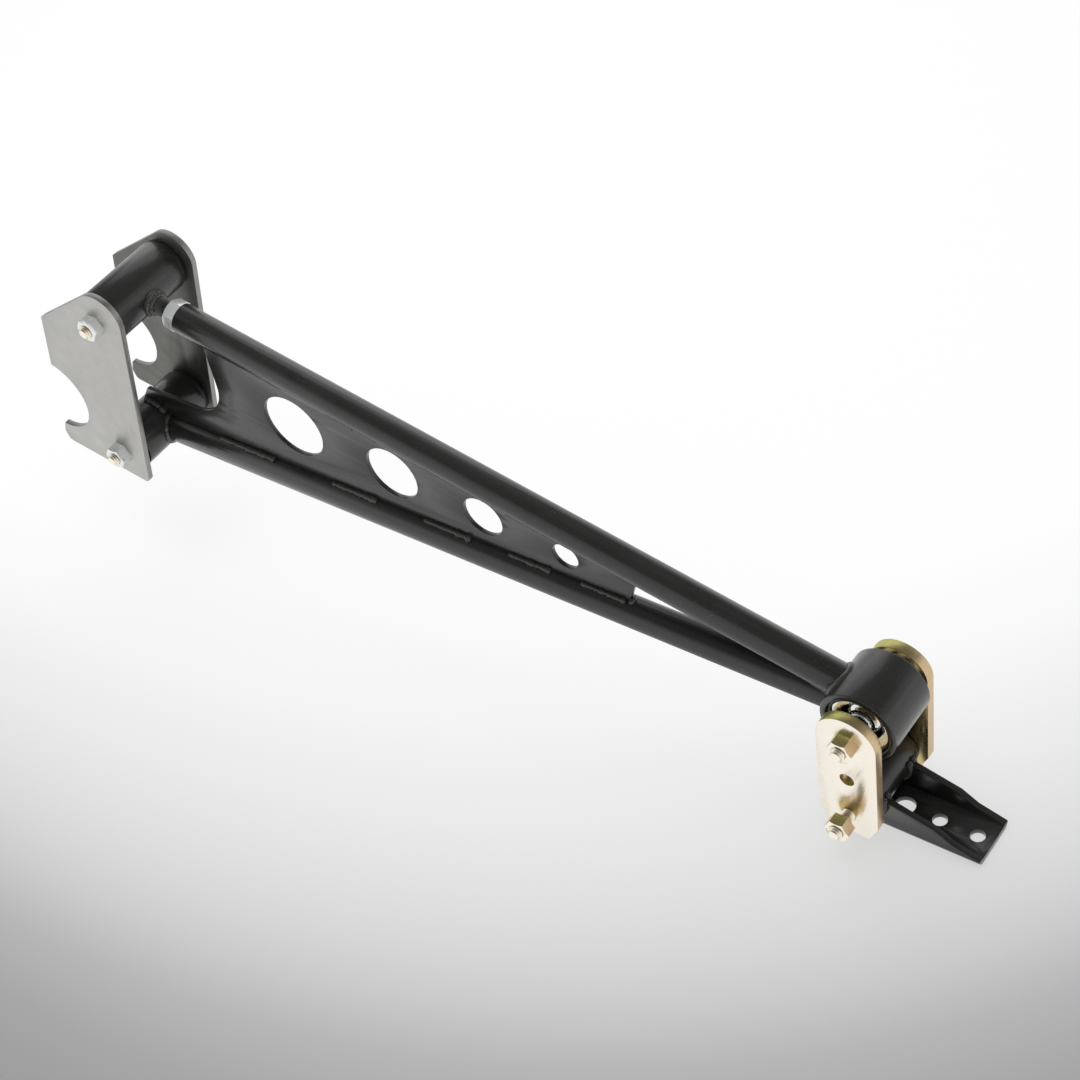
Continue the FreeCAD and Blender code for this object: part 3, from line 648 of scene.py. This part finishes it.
def bead_tree():
    """A weld bead along each path: rippled, a little uneven, and rounded off at open ends."""
    graph, given, out = group("Weld bead", "GeometryNodeTree", [
        ("Path", "NodeSocketGeometry", None),
        ("Radius", "NodeSocketFloat", 0.003),
        ("Ripple pitch", "NodeSocketFloat", 0.002),
        ("Ripple depth", "NodeSocketFloat", 0.1),
        ("Unevenness", "NodeSocketFloat", 0.3),
        ("End lump", "NodeSocketFloat", 0.2),
        ("Swell", "NodeSocketFloat", 0.0),
        ("Seed", "NodeSocketFloat", 1.0),
        ("Finish", "NodeSocketMaterial", None),
    ], [("Bead", "NodeSocketGeometry")])
    curve = graph.add("GeometryNodeMeshToCurve", {"Mesh": given["Path"]}).outputs["Curve"]
    step = graph.times(given["Ripple pitch"], 0.2)
    curve = graph.add("GeometryNodeResampleCurve", {"Curve": curve, "Length": step},
                      mode="LENGTH").outputs["Curve"]
    along = graph.add("GeometryNodeSplineParameter").outputs["Length"]
    whole = graph.add("GeometryNodeSplineLength").outputs["Length"]
    wave = graph.math("SINE", graph.times(graph.math("DIVIDE", along, given["Ripple pitch"]), math.tau))
    ripple = graph.plus(1.0, graph.times(wave, given["Ripple depth"]))
    place = graph.add("GeometryNodeInputPosition").outputs["Position"]
    cloud = graph.add("ShaderNodeTexNoise", {"Vector": place, "W": given["Seed"], "Scale": 190.0,
                                             "Detail": 1.0}, noise_dimensions="4D").outputs["Fac"]
    uneven = graph.plus(1.0, graph.times(graph.minus(cloud, 0.5), given["Unevenness"]))
    to_end = graph.minus(whole, along)
    near_end = graph.math("DIVIDE", graph.math("MINIMUM", along, to_end), given["Radius"], clamp=True)
    fall = graph.minus(1.0, near_end)
    taper = graph.math("SQRT", graph.minus(1.0001, graph.times(fall, fall)))
    lump = graph.spread(graph.math("DIVIDE", to_end, given["Radius"]), 2.6, 0.8, 0.0, given["End lump"])
    growth = graph.minus(1.0, graph.times(given["Swell"], graph.math("DIVIDE", to_end, whole)))
    open_end = graph.times(graph.times(taper, growth), graph.plus(1.0, lump))
    cyclic = graph.add("GeometryNodeInputSplineCyclic").outputs["Cyclic"]
    end = graph.add("GeometryNodeSwitch", {"Switch": cyclic, "False": open_end, "True": 1.0},
                    input_type="FLOAT").outputs["Output"]
    radius = graph.times(graph.times(given["Radius"], end), graph.times(ripple, uneven))
    profile = graph.add("GeometryNodeCurvePrimitiveCircle", {"Resolution": 12, "Radius": 1.0})
    return ended(graph, out["Bead"], curve, profile.outputs["Curve"], radius, given["Finish"])


def thread_tree():
    """A screw thread about Z: a ridge on a spiral, rising from the origin."""
    graph, given, out = group("Screw thread", "GeometryNodeTree", [
        ("Base", "NodeSocketGeometry", None),
        ("Radius", "NodeSocketFloat", 0.007),
        ("Pitch", "NodeSocketFloat", 0.002),
        ("Rise", "NodeSocketFloat", 0.01),
        ("Finish", "NodeSocketMaterial", None),
    ], [("Thread", "NodeSocketGeometry")])
    turns = graph.math("DIVIDE", given["Rise"], given["Pitch"])
    crest = graph.minus(given["Radius"], graph.times(given["Pitch"], 0.5))
    spiral = graph.add("GeometryNodeCurveSpiral", {
        "Resolution": 48, "Rotations": turns, "Start Radius": crest, "End Radius": crest,
        "Height": given["Rise"]}).outputs["Curve"]
    upright = graph.add("GeometryNodeSetCurveNormal", {"Curve": spiral}, mode="Z_UP").outputs["Curve"]
    ridge = graph.add("GeometryNodeCurvePrimitiveCircle", {
        "Resolution": 4, "Radius": graph.times(given["Pitch"], 0.5)}).outputs["Curve"]
    return ended(graph, out["Thread"], upright, ridge, 1.0, given["Finish"], smooth=False)


def ended(graph, out, curve, profile, scale, material, smooth=True):
    """Sweep a profile, and end the tree as every tree ends."""
    mesh = graph.add("GeometryNodeCurveToMesh", {"Curve": curve, "Profile Curve": profile, "Scale": scale,
                                                 "Fill Caps": True}).outputs["Mesh"]
    shaded = graph.add("GeometryNodeSetShadeSmooth", {"Geometry": mesh, "Shade Smooth": smooth})
    real = graph.add("GeometryNodeRealizeInstances", {"Geometry": shaded.outputs["Geometry"]})
    whole = graph.add("GeometryNodeSetMaterial", {"Geometry": real.outputs["Geometry"],
                                                  "Material": material})
    graph.feed(out, whole.outputs["Geometry"])
    return graph.tree


TREES = {"bead": bead_tree, "thread": thread_tree}


@cache
def tree_of(name):
    """A geometry tree, built the first time that it is asked for."""
    return TREES[name]()


def paths_mesh(paths):
    """A mesh of bare edges along paths; each path is (points, whether it is a loop)."""
    points, edges = [], []
    for path, loop in paths:
        first = len(points)
        points += path
        edges += [(first + k, first + k + 1) for k in range(len(path) - 1)]
        if loop:
            edges.append((len(points) - 1, first))
    mesh = bpy.data.meshes.new("paths")
    mesh.from_pydata([tuple(point) for point in points], edges, [])
    return mesh


def welded(name, node, paths, radius, lump=0.1, seed=1.0, ripple=0.09, uneven=0.35, swell=0.0):
    """Lay weld beads along paths on the body of a node, where the coat flows smoother and is painted lighter
    as a painted highlight.
    """
    sizes = bpy.context.scene.traction_sizes
    coat = finish("weld_coat")
    mesh = grown(tree_of("bead"), paths_mesh(paths), name, radius=radius, ripple_pitch=sizes.ripple_pitch,
                 ripple_depth=ripple, unevenness=uneven, end_lump=lump, swell=swell, seed=seed, finish=coat)
    return piece(name, mesh, node, material=coat)


def threaded(name, node, centre, side, radius, pitch, rise, axis=None):
    """Cut a thread on a bar: from a centre, to one side of the bar or along an axis."""
    base = bpy.data.meshes.new("origin")
    base.from_pydata([(0, 0, 0)], [], [])
    mesh = grown(tree_of("thread"), base, name, radius=radius, pitch=pitch, rise=rise,
                 finish=finish(SLOTS[node]))
    direction = Vector((0, side, 0)) if axis is None else axis
    turn = Vector((0, 0, 1)).rotation_difference(direction)
    mesh.transform(Matrix.Translation(centre) @ turn.to_matrix().to_4x4())
    return piece(name, mesh, node)


# The lines that welds follow

WEB_HALF = half_width("web_plate")
TUBE_RADIUS = half_width("lower_tube")
# Height above the flex joint's centre that each tube's axis aims at
UPPER_AIM, LOWER_AIM = 7.5 * MM, -8.5 * MM


def tube_line(pivot, aim):
    """A tube's axis: its start, its direction and its upward normal."""
    start = PIVOTS[pivot]
    direction = (PIVOTS["joint"] + Vector((0, 0, aim)) - start).normalized()
    return start, direction, Vector((-direction.z, 0, direction.x))


TUBES = {"upper": tube_line("upper", UPPER_AIM), "lower": tube_line("lower", LOWER_AIM)}


def tube_height(tube, x):
    """Height of a tube's axis at a place along the bar."""
    start, direction, _ = TUBES[tube]
    return start.z + (x - start.x) * direction.z / direction.x


def collar(tube, centre, wheel, radius, toward, steps=72):
    """Where a tube of a radius meets a cylinder across the bar: points round the tube."""
    start, direction, up = TUBES[tube]
    offset = (start - centre).dot(up)
    foot = start - direction * (start - centre).dot(direction)
    points = []
    for k in range(steps):
        turn = math.tau * k / steps
        rise = radius * math.cos(turn)
        run = math.sqrt(max(wheel ** 2 - (offset + rise) ** 2, 0.0))
        points.append(foot + direction * run * toward + up * rise + Vector((0, radius * math.sin(turn), 0)))
    return points


def clear_of(points, tube, radius):
    """The run of points that lies outside a tube, in order round a loop."""
    start, direction, _ = TUBES[tube]

    def outside(point):
        away = point - start
        return (away - direction * away.dot(direction)).length > radius
    keep = [outside(point) for point in points]
    first = next(k for k in range(len(points)) if keep[k] and not keep[k - 1])
    run = []
    for k in range(len(points)):
        at = (first + k) % len(points)
        if not keep[at]:
            break
        run.append(points[at])
    return run


def arc(centre, radius, across, start, end, steps=40):
    """An arc about the Y axis, between two angles in degrees from +X towards +Z."""
    return [Vector((centre.x + radius * math.cos(math.radians(start + (end - start) * k / steps)),
                    centre.y + across,
                    centre.z + radius * math.sin(math.radians(start + (end - start) * k / steps))))
            for k in range(steps + 1)]


# Start and end of each stitch weld, and the web's end on each tube, in millimetres from the lower pivot
STITCHES = ((100, 177), (254, 314), (373, 433), (477, 529), (563, 615))
WEB_ENDS = {"lower": 618, "upper": 631}
STITCH_STANDOFF, END_STANDOFF = 1.1 * MM, 1.0 * MM


def stitch_paths(tube, side, up, steps=12):
    """The stitch welds along a seam of the web, from the axle end to the joint end."""
    across = (WEB_HALF + STITCH_STANDOFF) * side
    lift = math.sqrt(TUBE_RADIUS ** 2 - across ** 2) * up
    paths = []
    for start, end in STITCHES:
        places = [PIVOTS["lower"].x + (start + (end - start) * k / steps) * MM for k in range(steps + 1)]
        paths.append(([Vector((x, across, tube_height(tube, x) + lift)) for x in places], False))
    return paths


def end_wrap(tube, lift, bow=2 * MM, steps=8):
    """A weld round the web's end, at a lift from a tube's axis."""
    end = PIVOTS["lower"].x + WEB_ENDS[tube] * MM
    across = WEB_HALF + END_STANDOFF
    return [Vector((end + bow * math.sin(math.pi * k / steps), -across * math.cos(math.pi * k / steps),
                    tube_height(tube, end) + lift)) for k in range(steps + 1)]


def tubes_meet():
    """Where the two tubes begin to touch, along the bar."""
    x = PIVOTS["lower"].x + WEB_ENDS["upper"] * MM
    while tube_height("upper", x) - tube_height("lower", x) >= 2 * TUBE_RADIUS:
        x += MM
    return x


def tube_seam(side, start, end, steps=24):
    """The line where the two tubes run into each other."""
    points = []
    for k in range(steps + 1):
        x = start + (end - start) * k / steps
        gap = (tube_height("upper", x) - tube_height("lower", x)) / 2
        across = math.sqrt(max(TUBE_RADIUS ** 2 - gap ** 2, 0.0))
        points.append(Vector((x, across * side, (tube_height("upper", x) + tube_height("lower", x)) / 2)))
    return points


# Operators

class PieceOperator(bpy.types.Operator):
    """Base of the operators that make pieces"""
    bl_options = {"REGISTER", "UNDO"}

    def execute(self, context):
        count = len(context.scene.objects)
        self.build(context.scene.traction_sizes)
        if len(context.scene.objects) == count:
            raise RuntimeError(f"{self.bl_label}: no piece was made")
        return {"FINISHED"}


class TRACTION_OT_axle_plates(PieceOperator):
    """Ease the edges of the hooked axle plates and give them bare steel"""
    bl_idname = "traction.axle_plates"
    bl_label = "Axle Plates"

    def build(self, sizes):
        for name, _ in SIDES:
            eased(f"axle_plate_{name}", sizes.plate_ease)


class TRACTION_OT_bar(PieceOperator):
    """Coat the tubes, the web and the bush sleeves"""
    bl_idname = "traction.bar"
    bl_label = "Tubes, Web and Sleeves"

    def build(self, sizes):
        eased("web_plate", sizes.plate_ease)
        for node in ("upper_bush_sleeve", "lower_bush_sleeve", "upper_tube", "lower_tube"):
            eased(node, sizes.turned_ease)


# The stud's plain shank stands in its weld, and its thread runs on into the tube
STUD_SUNK = 2 * MM
STUD_SHANK = 9 * MM
STUD_POINT = 2 * MM


class TRACTION_OT_link_stud(PieceOperator):
    """Thread the link stud and fit its jam nut"""
    bl_idname = "traction.link_stud"
    bl_label = "Link Stud"

    def build(self, sizes):
        start, direction, _ = TUBES["upper"]
        outer = half_width("link_stud")
        core = outer - sizes.stud_pitch * 0.6
        reach = (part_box("link_stud")[1].x - start.x) / direction.x
        begin = half_height("upper_bush_sleeve") - STUD_SUNK
        threads = begin + STUD_SHANK
        turn = Vector((0, 0, 1)).rotation_difference(direction)
        rings = []
        for distance, radius in ((begin, outer), (threads, outer), (threads + 1 * MM, core),
                                 (reach - STUD_POINT, core), (reach, core - 1 * MM)):
            rings.append([start + direction * distance + turn @ Vector(point)
                          for point in ring(0.0, radius)])
        piece("link_stud_core", mesh_of(skinned(rings), "link_stud_core"), "link_stud", ["link_stud"])
        threaded("link_stud_thread", "link_stud", start + direction * threads, None, outer,
                 sizes.stud_pitch, reach - threads - 2 * STUD_POINT, direction)
        eased("jam_nut", sizes.fastener_ease)


SLEEVE_WALL = 4.9 * MM
# The groove under a bush's lip: its depth and its width
GROOVE_DEPTH, GROOVE_WIDTH = 1.5 * MM, 0.9 * MM
BUSH_PLACES = (
    ("upper", "upper", "upper_crush_tube"),
    ("lower", "lower", "lower_crush_tube"),
    ("bracket", "shackle", "shackle_crush_tube"),
)


class TRACTION_OT_bushes(PieceOperator):
    """Mould the bush halves with rounded lips, and finish the crush tubes"""
    bl_idname = "traction.bushes"
    bl_label = "Bushes"

    def build(self, sizes):
        for place, pivot, tube in BUSH_PLACES:
            for name, side in SIDES:
                self.bush(f"{place}_bush_{name}", f"{place}_bush_sleeve", half_height(tube), pivot, side,
                          sizes.lip_round)
            coated(tube)

    def bush(self, node, sleeve, tube_radius, pivot, side, lip_round):
        """Turn a bush half: a barrel in the sleeve, a groove, and a rounded lip outside"""
        sleeve_end = half_width(sleeve)
        groove_end = sleeve_end + GROOVE_WIDTH
        bore = tube_radius + 0.1 * MM
        low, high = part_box(node)
        inner, end = sorted((abs(low.y), abs(high.y)))
        lip = half_height(node)
        barrel = half_height(sleeve) - SLEEVE_WALL
        waist = lip - GROOVE_DEPTH
        profile = rounded([
            (bore, inner, 0), (barrel, inner, 1 * MM), (barrel, sleeve_end, 0),
            (waist, sleeve_end, 0.3 * MM), (waist, groove_end, 0.3 * MM),
            (lip, groove_end, 0.4 * MM), (lip, end, lip_round),
            (bore + 1 * MM, end, 0), (bore, end - 1 * MM, 0),
        ])
        lathed(f"{node}_moulded", [(radius, across * side) for radius, across in profile],
               PIVOTS[pivot], node, [node])


BOLT_RADIUS = 7.15 * MM
HEAD_HEIGHT, WASHER_FACE = 9.1 * MM, 0.5 * MM
# Radii of a head's turned-off crown and of its washer face, in widths across flats
CROWN, WASHER_FOOT, WASHER_EDGE = 0.47, 0.485, 0.48
THREADED_LENGTH = 30 * MM
# The bolt's point: how long it is, and how far it closes in
POINT_LENGTH, POINT_DEPTH = 1.6 * MM, 1.2 * MM
THREAD_DEPTH = 0.55


class TRACTION_OT_fasteners(PieceOperator):
    """Make the bolts with washer faces and threaded ends, and ease the nuts"""
    bl_idname = "traction.fasteners"
    bl_label = "Bolts and Nuts"

    def build(self, sizes):
        for name in ("upper_pivot", "lower_pivot", "shackle_upper", "shackle_lower"):
            eased(f"{name}_nut", sizes.fastener_ease)
            self.bolt(f"{name}_bolt", middle(f"{name}_nut"), sizes.bolt_pitch)

    def bolt(self, node, nut_place, pitch):
        """Turn a bolt with its head on one side and its threaded end at the nut"""
        side = NEAR if nut_place.y < 0 else FAR
        low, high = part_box(node)
        tip = abs(low.y if side == NEAR else high.y)
        head_end = abs(high.y if side == NEAR else low.y)
        head_face = head_end - HEAD_HEIGHT
        washer_face = head_face + WASHER_FACE
        flats = half_height(node) * 2
        crown = flats * CROWN
        core = BOLT_RADIUS - pitch * THREAD_DEPTH
        run_out = tip - THREADED_LENGTH
        profile = [
            ring(-head_end, crown), ring(0, hexagon(flats, -head_end, crown, -1)),
            ring(0, hexagon(flats, -washer_face, flats, 1)),
            ring(-washer_face, flats * WASHER_FOOT), ring(-head_face, flats * WASHER_EDGE),
            ring(-head_face, BOLT_RADIUS), ring(run_out, BOLT_RADIUS), ring(run_out + 1 * MM, core),
            ring(tip - POINT_LENGTH, core), ring(tip, core - POINT_DEPTH),
        ]
        axis = Vector((nut_place.x, 0, nut_place.z))
        rings = [placed(points, axis, side) for points in profile]
        piece(f"{node}_turned", mesh_of(skinned(rings), node), node, [node])
        threaded(f"{node}_thread", node, axis + Vector((0, (run_out + 1 * MM) * side, 0)), side,
                 BOLT_RADIUS, pitch, tip - run_out - 2.2 * MM)


class TRACTION_OT_flex_joint(PieceOperator):
    """Finish the flex joint: housing, snap rings, dished washers, races and ball"""
    bl_idname = "traction.flex_joint"
    bl_label = "Flex Joint"

    def build(self, sizes):
        eased("joint_housing", sizes.turned_ease)
        eased("joint_ball", sizes.turned_ease)
        for name, _ in SIDES:
            coated(f"joint_race_{name}")
            eased(f"joint_cup_washer_{name}", sizes.fastener_ease)
            eased(f"joint_snap_ring_{name}", sizes.fastener_ease)


class TRACTION_OT_shackle(PieceOperator):
    """Ease the shackle plates and give them yellow zinc"""
    bl_idname = "traction.shackle"
    bl_label = "Shackle"

    def build(self, sizes):
        for name, _ in SIDES:
            eased(f"shackle_plate_{name}", sizes.plate_ease)


class TRACTION_OT_frame_bracket(PieceOperator):
    """Coat the frame bracket and its sleeve"""
    bl_idname = "traction.frame_bracket"
    bl_label = "Frame Bracket"

    def build(self, sizes):
        eased("frame_bracket", sizes.plate_ease)
        eased("bracket_bush_sleeve", sizes.turned_ease)


# Ends, in degrees, of the welds from the web's fork to the lower sleeve and round the bracket's sleeve
FORK_WELD = (40, 100)
BRACKET_WELD = (22, -195)
BRACKET_SHEET = 6 * MM


class TRACTION_OT_welds(PieceOperator):
    """Lay the weld beads round the sleeves, along the web and in the bracket"""
    bl_idname = "traction.welds"
    bl_label = "Weld Beads"

    def build(self, sizes):
        self.sleeves(sizes.bead_radius)
        self.housing(sizes.bead_radius * 1.1)
        self.web(sizes.stitch_radius)
        self.tubes(sizes.stitch_radius * 0.8)
        self.bracket(sizes.stitch_radius)

    def sleeves(self, bead):
        """Two turns round the stud, and one round the lower tube"""
        stud = half_width("link_stud")
        sleeve = half_height("upper_bush_sleeve")
        turns = ((sleeve + 0.5 * MM, stud + 1.5 * MM), (sleeve + 4 * MM, stud - 0.5 * MM))
        welded("link_stud_weld", "upper_bush_sleeve",
               [(collar("upper", PIVOTS["upper"], wheel, radius, 1), True) for wheel, radius in turns],
               bead * 1.15, seed=2.0, uneven=0.9, ripple=0.05)
        foot = collar("lower", PIVOTS["lower"], sleeve + 0.6 * MM, TUBE_RADIUS + 0.6 * MM, 1)
        welded("lower_sleeve_weld", "lower_bush_sleeve", [(foot, True)], bead, seed=3.0, uneven=0.9,
               ripple=0.05)

    def housing(self, bead):
        """Round each tube at the housing, as far as the other tube"""
        wheel = half_height("joint_housing") - 0.8 * MM
        paths = []
        for tube, other in (("upper", "lower"), ("lower", "upper")):
            points = collar(tube, PIVOTS["joint"], wheel, TUBE_RADIUS - 0.8 * MM, -1)
            paths.append((clear_of(points, other, TUBE_RADIUS - 2 * MM), False))
        welded("housing_weld", "joint_housing", paths, bead, seed=4.0, uneven=0.4, ripple=0.03)

    def web(self, bead):
        """Stitches along both seams, and the ends of the web"""
        paths = []
        for _, side in SIDES:
            paths += stitch_paths("lower", side, 1) + stitch_paths("upper", side, -1)
        welded("web_stitch_welds", "web_plate", paths, bead, lump=0.4, seed=5.0, ripple=0.12, uneven=1.7,
               swell=0.3)
        across = WEB_HALF + END_STANDOFF
        rise = math.sqrt(TUBE_RADIUS ** 2 - across ** 2)
        paths = [(end_wrap("lower", rise + 0.6 * MM), False), (end_wrap("upper", -rise - 0.9 * MM), False)]
        foot = half_height("upper_bush_sleeve") + 0.8 * MM
        for _, side in SIDES:
            paths.append((arc(PIVOTS["lower"], foot, across * side, *FORK_WELD), False))
        welded("web_end_welds", "web_plate", paths, bead * 1.25, lump=0.1, seed=6.0, uneven=1.2)

    def tubes(self, bead):
        """Where the tubes run into each other, up to the housing"""
        end = PIVOTS["joint"].x - half_height("joint_housing") - 1 * MM
        seams = [(tube_seam(side, tubes_meet(), end), False) for _, side in SIDES]
        welded("tube_seam_welds", "upper_tube", seams, bead, seed=7.0, uneven=0.5)

    def bracket(self, bead):
        """Round the sleeve on both faces of each flange"""
        foot = half_height("bracket_bush_sleeve") + 0.5 * MM
        wall = half_width("frame_bracket")
        paths = []
        for _, side in SIDES:
            for across in (wall - BRACKET_SHEET - 0.8 * MM, wall + 0.4 * MM):
                paths.append((arc(PIVOTS["shackle"], foot, across * side, *BRACKET_WELD, 60), False))
        welded("bracket_welds", "frame_bracket", paths, bead, seed=8.0, uneven=0.4)


FLOOR_HALF = 14.0
FLOOR_GAP = 0.5 * MM
FLOOR_COLOUR = (0.82, 0.82, 0.82, 1.0)
# Directions on the floor away from the front and across it, and the middle of the part along the second
AHEAD, ACROSS = (-0.44, 0.9), (0.816, 0.578)
PART_MIDDLE = 0.457
# The floor's painted glow and shade as it is seen: the stretch that the tones cover, and (share of the
# stretch, tone)
TONE_START, TONE_END = -2.2, -0.15
FLOOR_PAINTED_SHADES = ((0.146, 0.95), (0.512, 0.45), (0.61, 0.2), (0.634, 0.18), (0.683, 0.25), (0.722, 0.36),
               (0.755, 0.526), (0.780, 0.627), (0.807, 0.708), (0.846, 0.805), (0.883, 0.875), (0.912, 0.94),
               (0.976, 1.0))
# Share of the floor's glow in reflections, and the strength of the world as light
FLOOR_MIRRORED, WORLD_LIGHT = 0.8, 0.62
# The ceiling in reflections: (height, tone) where it starts and stops dimming
CEILING_START, CEILING_END = (0.18, 1.0), (0.62, 0.16)


def reflected(graph, rays):
    """Whether a ray comes from a reflection."""
    return graph.math("MAXIMUM", rays["Is Glossy Ray"], rays["Is Transmission Ray"])


class TRACTION_OT_stage(bpy.types.Operator):
    """Set up the pale floor, the soft studio light and the camera"""
    bl_idname = "traction.stage"
    bl_label = "Stage"

    def execute(self, context):
        stage = context.scene.traction_stage
        self.floor(stage.shadow_share)
        self.world(context.scene)
        self.lamps(stage)
        self.camera(context.scene, stage)
        context.scene.view_settings.view_transform = "Standard"
        return {"FINISHED"}

    def floor(self, shadow_share):
        mesh = bpy.data.meshes.new("floor")
        level = CAD_BOX[0].z - FLOOR_GAP
        corners = [(x * FLOOR_HALF, y * FLOOR_HALF, level) for x, y in ((-1, -1), (1, -1), (1, 1), (-1, 1))]
        mesh.from_pydata(corners, [], [(0, 1, 2, 3)])
        mesh.materials.append(self.floor_finish(shadow_share))
        linked("floor", mesh)

    def floor_finish(self, shadow_share):
        """A pale floor that glows, with painted shade that darkens it towards the front, for the eye more
        than for the light
        """
        material, graph, _, place, _ = started("Pale floor", {
            "Base Color": FLOOR_COLOUR, "Roughness": 0.7, "Specular IOR Level": 0.0})
        axes = graph.add("ShaderNodeSeparateXYZ", {"Vector": place}).outputs
        ahead, across = (graph.plus(graph.times(axes["X"], x), graph.times(axes["Y"], y))
                         for x, y in (AHEAD, ACROSS))
        aside = graph.math("ABSOLUTE", graph.minus(across, PART_MIDDLE))
        aside = graph.math("MINIMUM", graph.math("POWER", aside, 2.0), 1.0)
        fall = graph.minus(ahead, graph.times(aside, 0.5))
        ramp = graph.add("ShaderNodeValToRGB", {"Fac": graph.spread(fall, TONE_START, TONE_END)})
        points = ramp.color_ramp.elements
        points[0].position, points[1].position = FLOOR_PAINTED_SHADES[0][0], FLOOR_PAINTED_SHADES[-1][0]
        for along, _ in FLOOR_PAINTED_SHADES[1:-1]:
            points.new(along)
        for point, (_, tone) in zip(points, FLOOR_PAINTED_SHADES):
            point.color = (tone, tone, tone, 1.0)
        rays = graph.add("ShaderNodeLightPath").outputs
        # Painted glow: the camera sees the painted shade ramp, reflections see a plain white glow
        tone = graph.mix(rays["Is Camera Ray"], (1.0, 1.0, 1.0, 1.0), ramp.outputs["Color"])
        glow = graph.add("ShaderNodeEmission", {"Color": tone})
        seen = graph.times(rays["Is Camera Ray"], 1.0 - shadow_share)
        mirrored = graph.times(reflected(graph, rays), FLOOR_MIRRORED)
        blend = graph.add("ShaderNodeMixShader", {0: graph.math("MAXIMUM", seen, mirrored)})
        nodes = material.node_tree.nodes
        graph.feed(blend.inputs[1], nodes["Principled BSDF"].outputs[0])
        graph.feed(blend.inputs[2], glow.outputs[0])
        graph.feed(nodes["Material Output"].inputs["Surface"], blend.outputs[0])
        return material

    def world(self, scene):
        """White to the eye, softer as light, and in reflections bright at the horizon and dim overhead"""
        world = bpy.data.worlds.new("Studio")
        scene.world = world
        world.use_nodes = True
        graph = Graph(world.node_tree)
        direction = graph.add("ShaderNodeTexCoord").outputs["Generated"]
        height = graph.add("ShaderNodeSeparateXYZ", {"Vector": direction}).outputs["Z"]
        rays = graph.add("ShaderNodeLightPath").outputs
        plain = graph.spread(rays["Is Camera Ray"], 0.0, 1.0, WORLD_LIGHT, 1.0)
        ceiling = graph.spread(height, CEILING_START[0], CEILING_END[0], CEILING_START[1], CEILING_END[1])
        tone = graph.mix(reflected(graph, rays), plain, ceiling)
        graph.feed(world.node_tree.nodes["Background"].inputs["Color"], tone)

    def lamps(self, stage):
        focus = (CAD_BOX[0] + CAD_BOX[1]) / 2
        for name, offset, wide, power, mirrored in (
            ("key", Vector((-0.3, 0.2, 2.4)), 2.6, stage.key_power, False),
            ("side", Vector((-1.3, 1.5, 1.5)), 1.8, stage.side_power, True),
        ):
            lamp = bpy.data.lights.new(name, "AREA")
            lamp.shape = "SQUARE"
            lamp.size = wide
            lamp.energy = power
            item = linked(name, lamp)
            item.location = focus + offset
            item.rotation_mode = "QUATERNION"
            item.rotation_quaternion = (-offset).to_track_quat("-Z", "Y")
            item.visible_glossy = mirrored

    def camera(self, scene, stage):
        camera = bpy.data.cameras.new("camera")
        camera.lens = stage.lens
        camera.sensor_width = 36.0
        camera.clip_start, camera.clip_end = 0.05, 60.0
        item = linked("camera", camera)
        right, up = Vector(stage.camera_right), Vector(stage.camera_up)
        turn = Matrix((right, up, right.cross(up))).transposed().to_4x4()
        item.matrix_world = Matrix.Translation(Vector(stage.camera_place)) @ turn
        scene.camera = item


class TRACTION_PT_panel(bpy.types.Panel):
    """Sizes, finishes and steps of the traction bar"""
    bl_idname = "TRACTION_PT_panel"
    bl_label = "Traction Bar"
    bl_space_type = "VIEW_3D"
    bl_region_type = "UI"
    bl_category = "Traction Bar"

    def draw(self, context):
        for group_name in GROUPS_OF_VALUES:
            values = getattr(context.scene, group_name)
            box = self.layout.box()
            for name in values.__annotations__:
                box.prop(values, name)
        for operator in OPERATORS:
            self.layout.operator(operator.bl_idname)


OPERATORS = (
    TRACTION_OT_axle_plates,
    TRACTION_OT_bar,
    TRACTION_OT_link_stud,
    TRACTION_OT_bushes,
    TRACTION_OT_fasteners,
    TRACTION_OT_flex_joint,
    TRACTION_OT_shackle,
    TRACTION_OT_frame_bracket,
    TRACTION_OT_welds,
    TRACTION_OT_stage,
)
GROUPS_OF_VALUES = {
    "traction_sizes": TractionBarSizes,
    "traction_finishes": TractionBarFinishes,
    "traction_stage": TractionBarStage,
}


def register():
    for name, values in GROUPS_OF_VALUES.items():
        bpy.utils.register_class(values)
        setattr(bpy.types.Scene, name, bpy.props.PointerProperty(type=values))
    for item in (*OPERATORS, TRACTION_PT_panel):
        bpy.utils.register_class(item)


def unregister():
    for item in (TRACTION_PT_panel, *reversed(OPERATORS)):
        bpy.utils.unregister_class(item)
    for name, values in GROUPS_OF_VALUES.items():
        delattr(bpy.types.Scene, name)
        bpy.utils.unregister_class(values)


def main():
    register()
    bpy.ops.traction.axle_plates()
    bpy.ops.traction.bar()
    bpy.ops.traction.link_stud()
    bpy.ops.traction.bushes()
    bpy.ops.traction.fasteners()
    bpy.ops.traction.flex_joint()
    bpy.ops.traction.shackle()
    bpy.ops.traction.frame_bracket()
    bpy.ops.traction.welds()
    bpy.ops.traction.stage()


if __name__ == "__main__":
    main()
